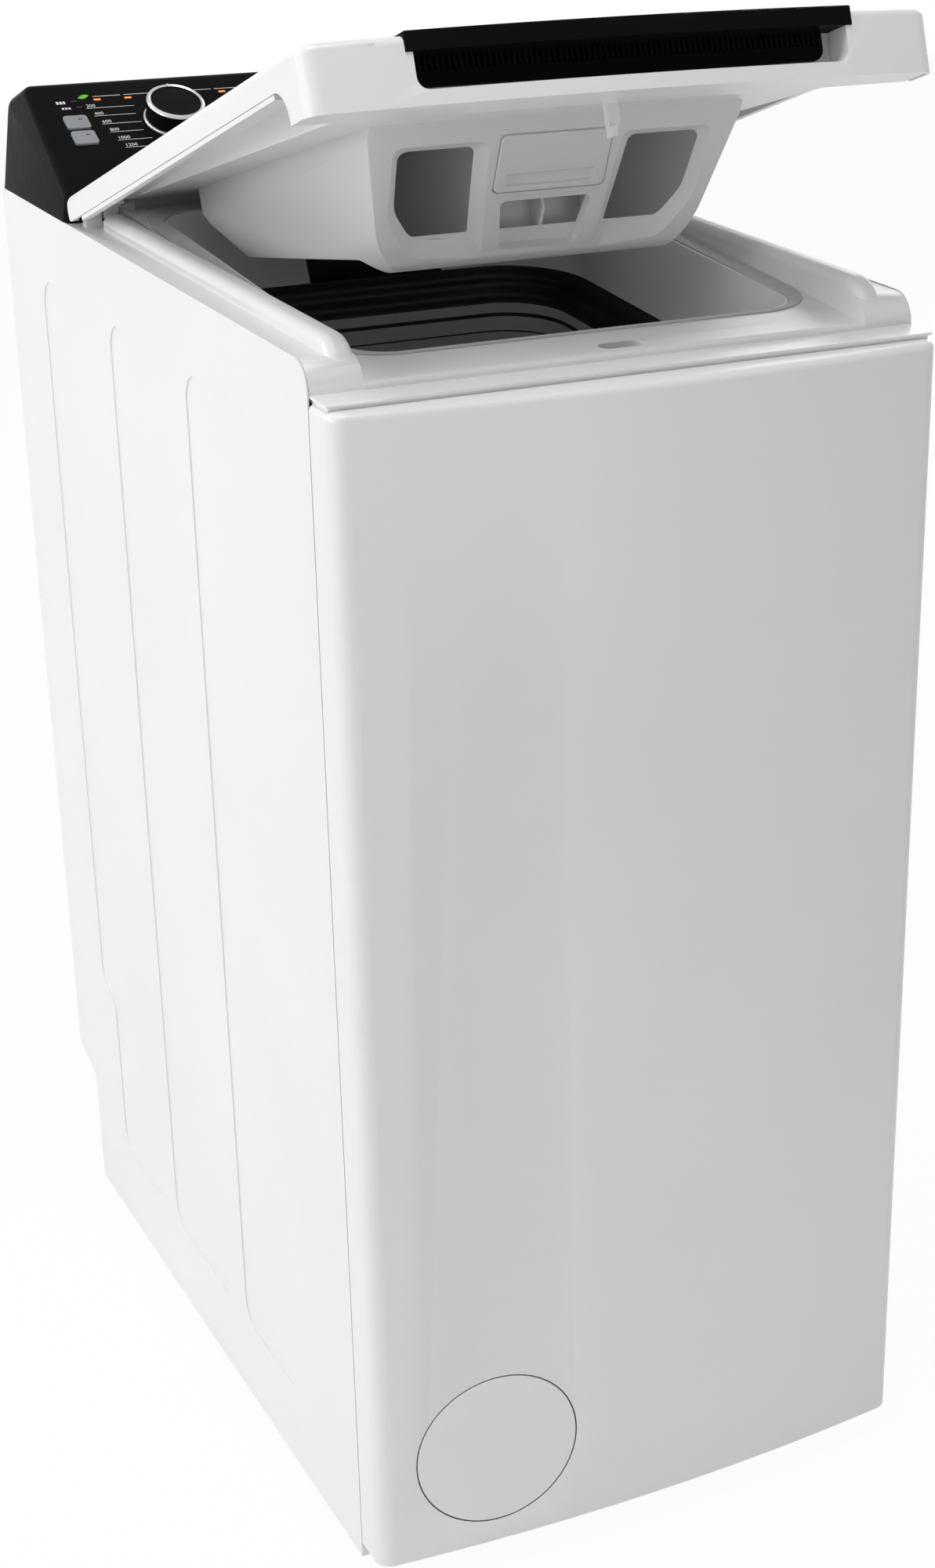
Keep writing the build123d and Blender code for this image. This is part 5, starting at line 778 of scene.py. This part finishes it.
def door_gasket():
    """Folded rubber bellows between the loading well and the neck of the tub."""
    bm = bmesh.new()
    loops = []
    down = range(GASKET_STEPS + 1)
    for grow, part, steps in ((0.0, 1, down), (GASKET_WALL, GASKET_BACK_SHARE, reversed(down))):
        for step in steps:
            share = step / GASKET_STEPS
            out = grow - GASKET_FOLD_DEPTH * sin(pi * share * GASKET_FOLDS) ** 2 * part
            half_x, half_y, shift, radius = [a + (b - a) * share for a, b in zip(WELL_FLOOR, NECK)]
            ring = rounded_ring(
                WELL_DEPTH + GASKET_HEIGHT * share, half_x + out, half_y + out, shift, radius + out
            )
            loops.append([bm.verts.new(point) for point in ring])
    bridge(bm, loops + loops[:1])
    bmesh.ops.recalc_face_normals(bm, faces=bm.faces)
    piece = new_piece("door_gasket_form", mesh_from(bm, "door_gasket_form"), ["rubber"])
    tie_to_tub(piece, "door_gasket")


# Holes of the drum: sizes in millimetres, the perforated arc and its middle in degrees from the top
HOLE_RADIUS = 1.6
HOLE_SIDES = 8
HOLE_PITCH = 13.0
HOLE_ROWS = 17
HOLE_INSET = 0.12
HOLE_MIDDLE = 175.0
HOLE_ARC = 290.0


def perforation_tree():
    """Geometry Nodes: rows of round holes, drawn as discs, wrapped round a drum that lies along X."""
    sockets = dict.fromkeys(("Length", "Arc", "Middle", "Radius", "Hole"), "Float")
    tree, values = open_tree("drum_perforation", {**sockets, "Rows": "Int", "Columns": "Int"})
    sheet = add_node(
        tree,
        "GeometryNodeMeshGrid",
        links={
            "Size X": values["Length"],
            "Size Y": values["Arc"],
            "Vertices X": values["Rows"],
            "Vertices Y": values["Columns"],
        },
    )

    def sum_of(operation, *sockets):
        """Result of one operation on its sockets."""
        return add_node(tree, "ShaderNodeMath", {"operation": operation}, dict(enumerate(sockets))).outputs[0]

    def split_position():
        """Coordinates of each point, one by one."""
        position = add_node(tree, "GeometryNodeInputPosition").outputs[0]
        return add_node(tree, "ShaderNodeSeparateXYZ", links={0: position}).outputs

    flat = split_position()
    angle = sum_of("ADD", flat["Y"], values["Middle"])
    across = sum_of("MULTIPLY", sum_of("SINE", angle), values["Radius"])
    up = sum_of("MULTIPLY", sum_of("COSINE", angle), values["Radius"])
    place = add_node(tree, "ShaderNodeCombineXYZ", links={"X": flat["X"], "Y": across, "Z": up})
    parts = {"Geometry": sheet.outputs["Mesh"], "Position": place.outputs[0]}
    wrapped = add_node(tree, "GeometryNodeSetPosition", links=parts)
    round_drum = split_position()
    lean = sum_of("MULTIPLY", sum_of("ARCTAN2", round_drum["Y"], round_drum["Z"]))
    lean.node.inputs[1].default_value = -1.0
    turn = add_node(tree, "ShaderNodeCombineXYZ", links={"X": lean})
    filled = {"fill_type": "NGON", "Vertices": HOLE_SIDES}
    disc = add_node(tree, "GeometryNodeMeshCircle", filled, {"Radius": values["Hole"]})
    parts = {"Points": wrapped.outputs[0], "Instance": disc.outputs["Mesh"], "Rotation": turn.outputs[0]}
    placed = add_node(tree, "GeometryNodeInstanceOnPoints", links=parts)
    close_tree(tree, placed.outputs["Instances"], values["Finish"])
    return tree


def drum_hole_shade():
    """Drain holes all over the drum wall, drawn as dark discs inside and out: painted shade for the dark seen
    through each hole.
    """
    tree = perforation_tree()
    inputs = {
        "Length": (HOLE_ROWS - 1) * HOLE_PITCH * MM,
        "Arc": radians(HOLE_ARC),
        "Middle": radians(HOLE_MIDDLE),
        "Hole": HOLE_RADIUS * MM,
        "Rows": HOLE_ROWS,
        "Columns": int(radians(HOLE_ARC) * DRUM_RADIUS / HOLE_PITCH),
        # The near-black finish is painted shade where each hole would show the dark behind the wall
        "Finish": FINISHES["dark_ink_and_painted_shade"],
    }
    walls = {"outer": DRUM_RADIUS + HOLE_INSET, "inner": DRUM_RADIUS - DRUM_WALL - HOLE_INSET}
    for side, radius in walls.items():
        mesh = grown_mesh("drum_hole_shade_" + side, tree, {**inputs, "Radius": radius * MM})
        mesh.transform(Matrix.Translation(Vector((0, DRUM_Y, DRUM_Z)) * MM))
        piece = new_piece("drum_hole_shade_" + side, mesh, ["dark_ink_and_painted_shade"])
        settle(piece, "drum", "stainless")


# Depth below the rim and height of each band of painted shade in the neck
NECK_SHADE_BANDS = ((82.0, 2.6), (95.0, 0.9), (104.0, 0.9))
SHADE_BAND_PROUD = 0.4


def neck_shade_bands():
    """Black bands round the inside of the tub's neck: painted shade that stands in for dark gap lines there.
    """
    bm = bmesh.new()
    for top, height in NECK_SHADE_BANDS:
        loops = []
        for depth, proud in ((top, 0.0), (top, SHADE_BAND_PROUD), (top + height, SHADE_BAND_PROUD), (top + height, 0.0)):
            sizes = (NECK[0] - proud, NECK[1] - proud, NECK[2], NECK[3] - proud)
            loops.append([bm.verts.new(point) for point in rounded_ring(depth, *sizes)])
        bridge(bm, loops)
    piece = new_piece("neck_shade_bands", mesh_from(bm, "neck_shade_bands"), ["rubber"])
    settle(piece, "tub", "black_rubber")


# Gap round the service cover, drawn as a dark line of painted shade, and the bow of the front panel it lies
# on
COVER_X = -116.0
COVER_Z = 97.0
COVER_RADIUS = 56.4
COVER_GAP = 0.9
COVER_SINK = 0.35
COVER_STEPS = 120
FRONT_Y = -325.0
BOW_RADIUS = 1672.7


def bow_y(x):
    """Depth of the bowed front at a place across its width."""
    return FRONT_Y + BOW_RADIUS - (BOW_RADIUS ** 2 - x ** 2) ** 0.5


def cover_gap_shade():
    """Dark line of painted shade in the gap round the service cover, laid on the bowed front."""
    bm = bmesh.new()
    loops = []
    for radius in (COVER_RADIUS + COVER_GAP, COVER_RADIUS):
        loop = []
        for step in range(COVER_STEPS):
            turn = 2 * pi * step / COVER_STEPS
            x = COVER_X + radius * cos(turn)
            place = Vector((x, bow_y(x) + COVER_SINK, COVER_Z + radius * sin(turn)))
            loop.append(bm.verts.new(place * MM))
        loops.append(loop)
    bridge(bm, loops)
    piece = new_piece("service_cover_gap_shade", mesh_from(bm, "service_cover_gap_shade"), ["dark_ink_and_painted_shade"])
    settle(piece, "cabinet", "white_enamel")


# Strip under the top frame's front lip
JOINT_HALF = 197.0
JOINT_WALL = 1.0
JOINT_Y = (-303.3, -270.0)
JOINT_Z = (804.8, 808.0)


def joint_path(inset):
    """Line of the strip under the front lip, from its left rear end to its right rear end."""
    half = JOINT_HALF - inset
    front, rear = JOINT_Y
    return [(-half, rear), (-half, front + inset), (half, front + inset), (half, rear)]


def front_joint():
    """White strip that closes the gap between the front panel and the top frame."""
    bm = bmesh.new()
    outer = joint_path(0)
    inner = joint_path(JOINT_WALL)
    low, high = JOINT_Z
    rows = []
    for path, z in ((outer, low), (outer, high), (inner, high), (inner, low)):
        rows.append([bm.verts.new(Vector((x, y, z)) * MM) for x, y in path])
    for row, after in zip(rows, rows[1:] + rows[:1]):
        for place in range(len(row) - 1):
            bm.faces.new([row[place], row[place + 1], after[place + 1], after[place]])
    for end in (0, -1):
        bm.faces.new([row[end] for row in rows])
    bmesh.ops.recalc_face_normals(bm, faces=bm.faces)
    piece = new_piece("front_joint_strip", mesh_from(bm, "front_joint_strip"), ["abs"])
    settle(piece, "cabinet", "white_plastic")


SPRING_PLACES = [(x, y) for x in (-170.0, 170.0) for y in (-210.0, 170.0)]
SPRING_COIL = 8.5
SPRING_WIRE = 1.5
SPRING_LOW = 560.0
SPRING_HIGH = 722.0
SPRING_TURNS = 22
SPRING_STEPS = 20
WIRE_SIDES = 8


def suspension_springs():
    """Coil springs that carry the tub."""
    bm = bmesh.new()
    count = SPRING_TURNS * SPRING_STEPS
    rise = SPRING_HIGH - SPRING_LOW - 2 * SPRING_WIRE
    for x, y in SPRING_PLACES:
        loops = []
        for step in range(count + 1):
            turn = 2 * pi * step / SPRING_STEPS
            z = SPRING_LOW + SPRING_WIRE + rise * step / count
            loop = []
            for side in range(WIRE_SIDES):
                way = 2 * pi * side / WIRE_SIDES
                reach = SPRING_COIL + SPRING_WIRE * cos(way)
                height = z + SPRING_WIRE * sin(way)
                place = Vector((x + reach * cos(turn), y + reach * sin(turn), height))
                loop.append(bm.verts.new(place * MM))
            loops.append(loop)
        bridge(bm, loops)
        bm.faces.new(loops[0])
        bm.faces.new(loops[-1][::-1])
    bmesh.ops.recalc_face_normals(bm, faces=bm.faces)
    piece = new_piece("suspension_springs_form", mesh_from(bm, "suspension_springs_form"), ["zinc"])
    tie_to_tub(piece, "suspension_springs")


def sump_hose():
    """Rubber bellows from the pump up to the sump of the tub."""
    tie_to_tub(joined_copy("sump_hose"), "sump_hose")


def dress_inner_nodes(done):
    """Finishes for the nodes that keep their own mesh."""
    for node, piece in frame["nodes"].items():
        if node in done:
            continue
        piece.data.materials.clear()
        piece.data.materials.append(FINISHES[SLOT_FINISH[SLOT_OF[node]]])


def add_camera():
    """Camera at the photograph's viewpoint."""
    camera = bpy.data.cameras.new("photo_camera")
    camera.sensor_width = SENSOR_MM
    camera.sensor_fit = "AUTO"
    long_side = max(FRAME_PIXELS)
    camera.lens = FOCAL_PIXELS * SENSOR_MM / long_side
    camera.shift_x = (FRAME_PIXELS[0] / 2 - OPTICAL_CENTRE[0]) / long_side
    camera.shift_y = (OPTICAL_CENTRE[1] - FRAME_PIXELS[1] / 2) / long_side
    camera.clip_end = CLIP_END
    holder = bpy.data.objects.new("photo_camera", camera)
    bpy.context.scene.collection.objects.link(holder)
    turn = Euler((radians(90 + CAMERA_PITCH), 0, radians(-CAMERA_YAW))).to_matrix()
    turn = turn @ Matrix.Rotation(radians(CAMERA_ROLL), 3, "Z")
    holder.matrix_world = Matrix.Translation(CAMERA_PLACE) @ turn.to_4x4()
    bpy.context.scene.camera = holder


# Studio: lamps as place, target and width in metres and power in watts, then the fill and the floor
LAMPS = {
    "left_softbox": ((-2.7, 1.3, 1.9), (0, 0, 0.5), 1.8, 29),
    "left_low_softbox": ((-2.5, -0.6, 1.12), (0, -0.1, 0.85), 1.3, 17),
    "right_rear_softbox": ((2.6, 2.3, 2.0), (0, 0, 0.6), 1.8, 20),
    "top_softbox": ((-0.4, -0.6, 3.4), (0, 0, 0.8), 1.6, 38),
    "low_fill": ((0.3, -2.4, 0.25), (0, -0.1, 0.9), 1.2, 7),
}
FILL_STRENGTH = 0.26
FLOOR_SIZE = 6.0
FLOOR_GLOW = 0.96
WHITE = "#ffffff"
FLOOR_COLOUR = "#f4f4f4"


def area_light(name, place, target, size, power):
    """Round soft lamp aimed at a point."""
    light = bpy.data.lights.new(name, "AREA")
    light.shape = "DISK"
    light.size = size
    light.energy = power
    holder = bpy.data.objects.new(name, light)
    bpy.context.scene.collection.objects.link(holder)
    aim = (Vector(target) - Vector(place)).to_track_quat("-Z", "Y")
    holder.matrix_world = Matrix.Translation(place) @ aim.to_matrix().to_4x4()


def seen_white(tree):
    """Socket that is 1 for the rays that see plain white: camera, glossy and transmitted ones."""
    path = add_node(tree, "ShaderNodeLightPath").outputs
    larger = {"operation": "MAXIMUM"}
    pair = add_node(tree, "ShaderNodeMath", larger, {0: path["Is Camera Ray"], 1: path["Is Glossy Ray"]})
    three = {0: pair.outputs[0], 1: path["Is Transmission Ray"]}
    return add_node(tree, "ShaderNodeMath", larger, three).outputs[0]


def mix_of(tree, share, first, second):
    """Output of a mix of two shaders."""
    parts = {0: share, 1: first.outputs[0], 2: second.outputs[0]}
    return add_node(tree, "ShaderNodeMixShader", links=parts).outputs[0]


def studio_world():
    """White background over a weaker even fill."""
    world = bpy.data.worlds.new("studio")
    bpy.context.scene.world = world
    world.use_nodes = True
    tree = world.node_tree
    tree.nodes.clear()
    fill = add_node(tree, "ShaderNodeBackground", {"Color": hex_colour(WHITE), "Strength": FILL_STRENGTH})
    white = add_node(tree, "ShaderNodeBackground", {"Color": hex_colour(WHITE), "Strength": 1.0})
    add_node(tree, "ShaderNodeOutputWorld", links={"Surface": mix_of(tree, seen_white(tree), fill, white)})


def floor_material():
    """Pale floor that reads almost as white as the background and still takes a shadow."""
    material = bpy.data.materials.new("pale_floor")
    material.use_nodes = True
    tree = material.node_tree
    tree.nodes.clear()
    matt = add_node(tree, "ShaderNodeBsdfDiffuse", {"Color": hex_colour(FLOOR_COLOUR)})
    glow = add_node(tree, "ShaderNodeEmission", {"Color": hex_colour(WHITE), "Strength": 1.0})
    share = add_node(tree, "ShaderNodeMath", {"operation": "MULTIPLY"}, {0: seen_white(tree)})
    share.inputs[1].default_value = FLOOR_GLOW
    surface = mix_of(tree, share.outputs[0], matt, glow)
    add_node(tree, "ShaderNodeOutputMaterial", links={"Surface": surface})
    return material


def studio():
    """White surroundings, a plain pale floor and soft lamps, the strongest above and to the left."""
    studio_world()
    bm = bmesh.new()
    bmesh.ops.create_grid(bm, x_segments=1, y_segments=1, size=FLOOR_SIZE)
    mesh = mesh_from(bm, "studio_floor")
    mesh.materials.append(floor_material())
    floor = bpy.data.objects.new("studio_floor", mesh)
    bpy.context.scene.collection.objects.link(floor)
    for name, (place, target, size, power) in LAMPS.items():
        area_light(name, place, target, size, power)


def main():
    """Dress every piece, then set up the camera and the studio."""
    bpy.context.scene.view_settings.view_transform = "Standard"
    for node, edge in EDGES.items():
        refine(node, edge)
    panel_printing()
    button_slots()
    program_knob()
    handle_ribs()
    door_gasket()
    drum_hole_shade()
    neck_shade_bands()
    cover_gap_shade()
    front_joint()
    suspension_springs()
    sump_hose()
    made = {"program_knob", "door_gasket", "suspension_springs", "sump_hose"}
    dress_inner_nodes(made | set(EDGES))
    add_camera()
    studio()


main()
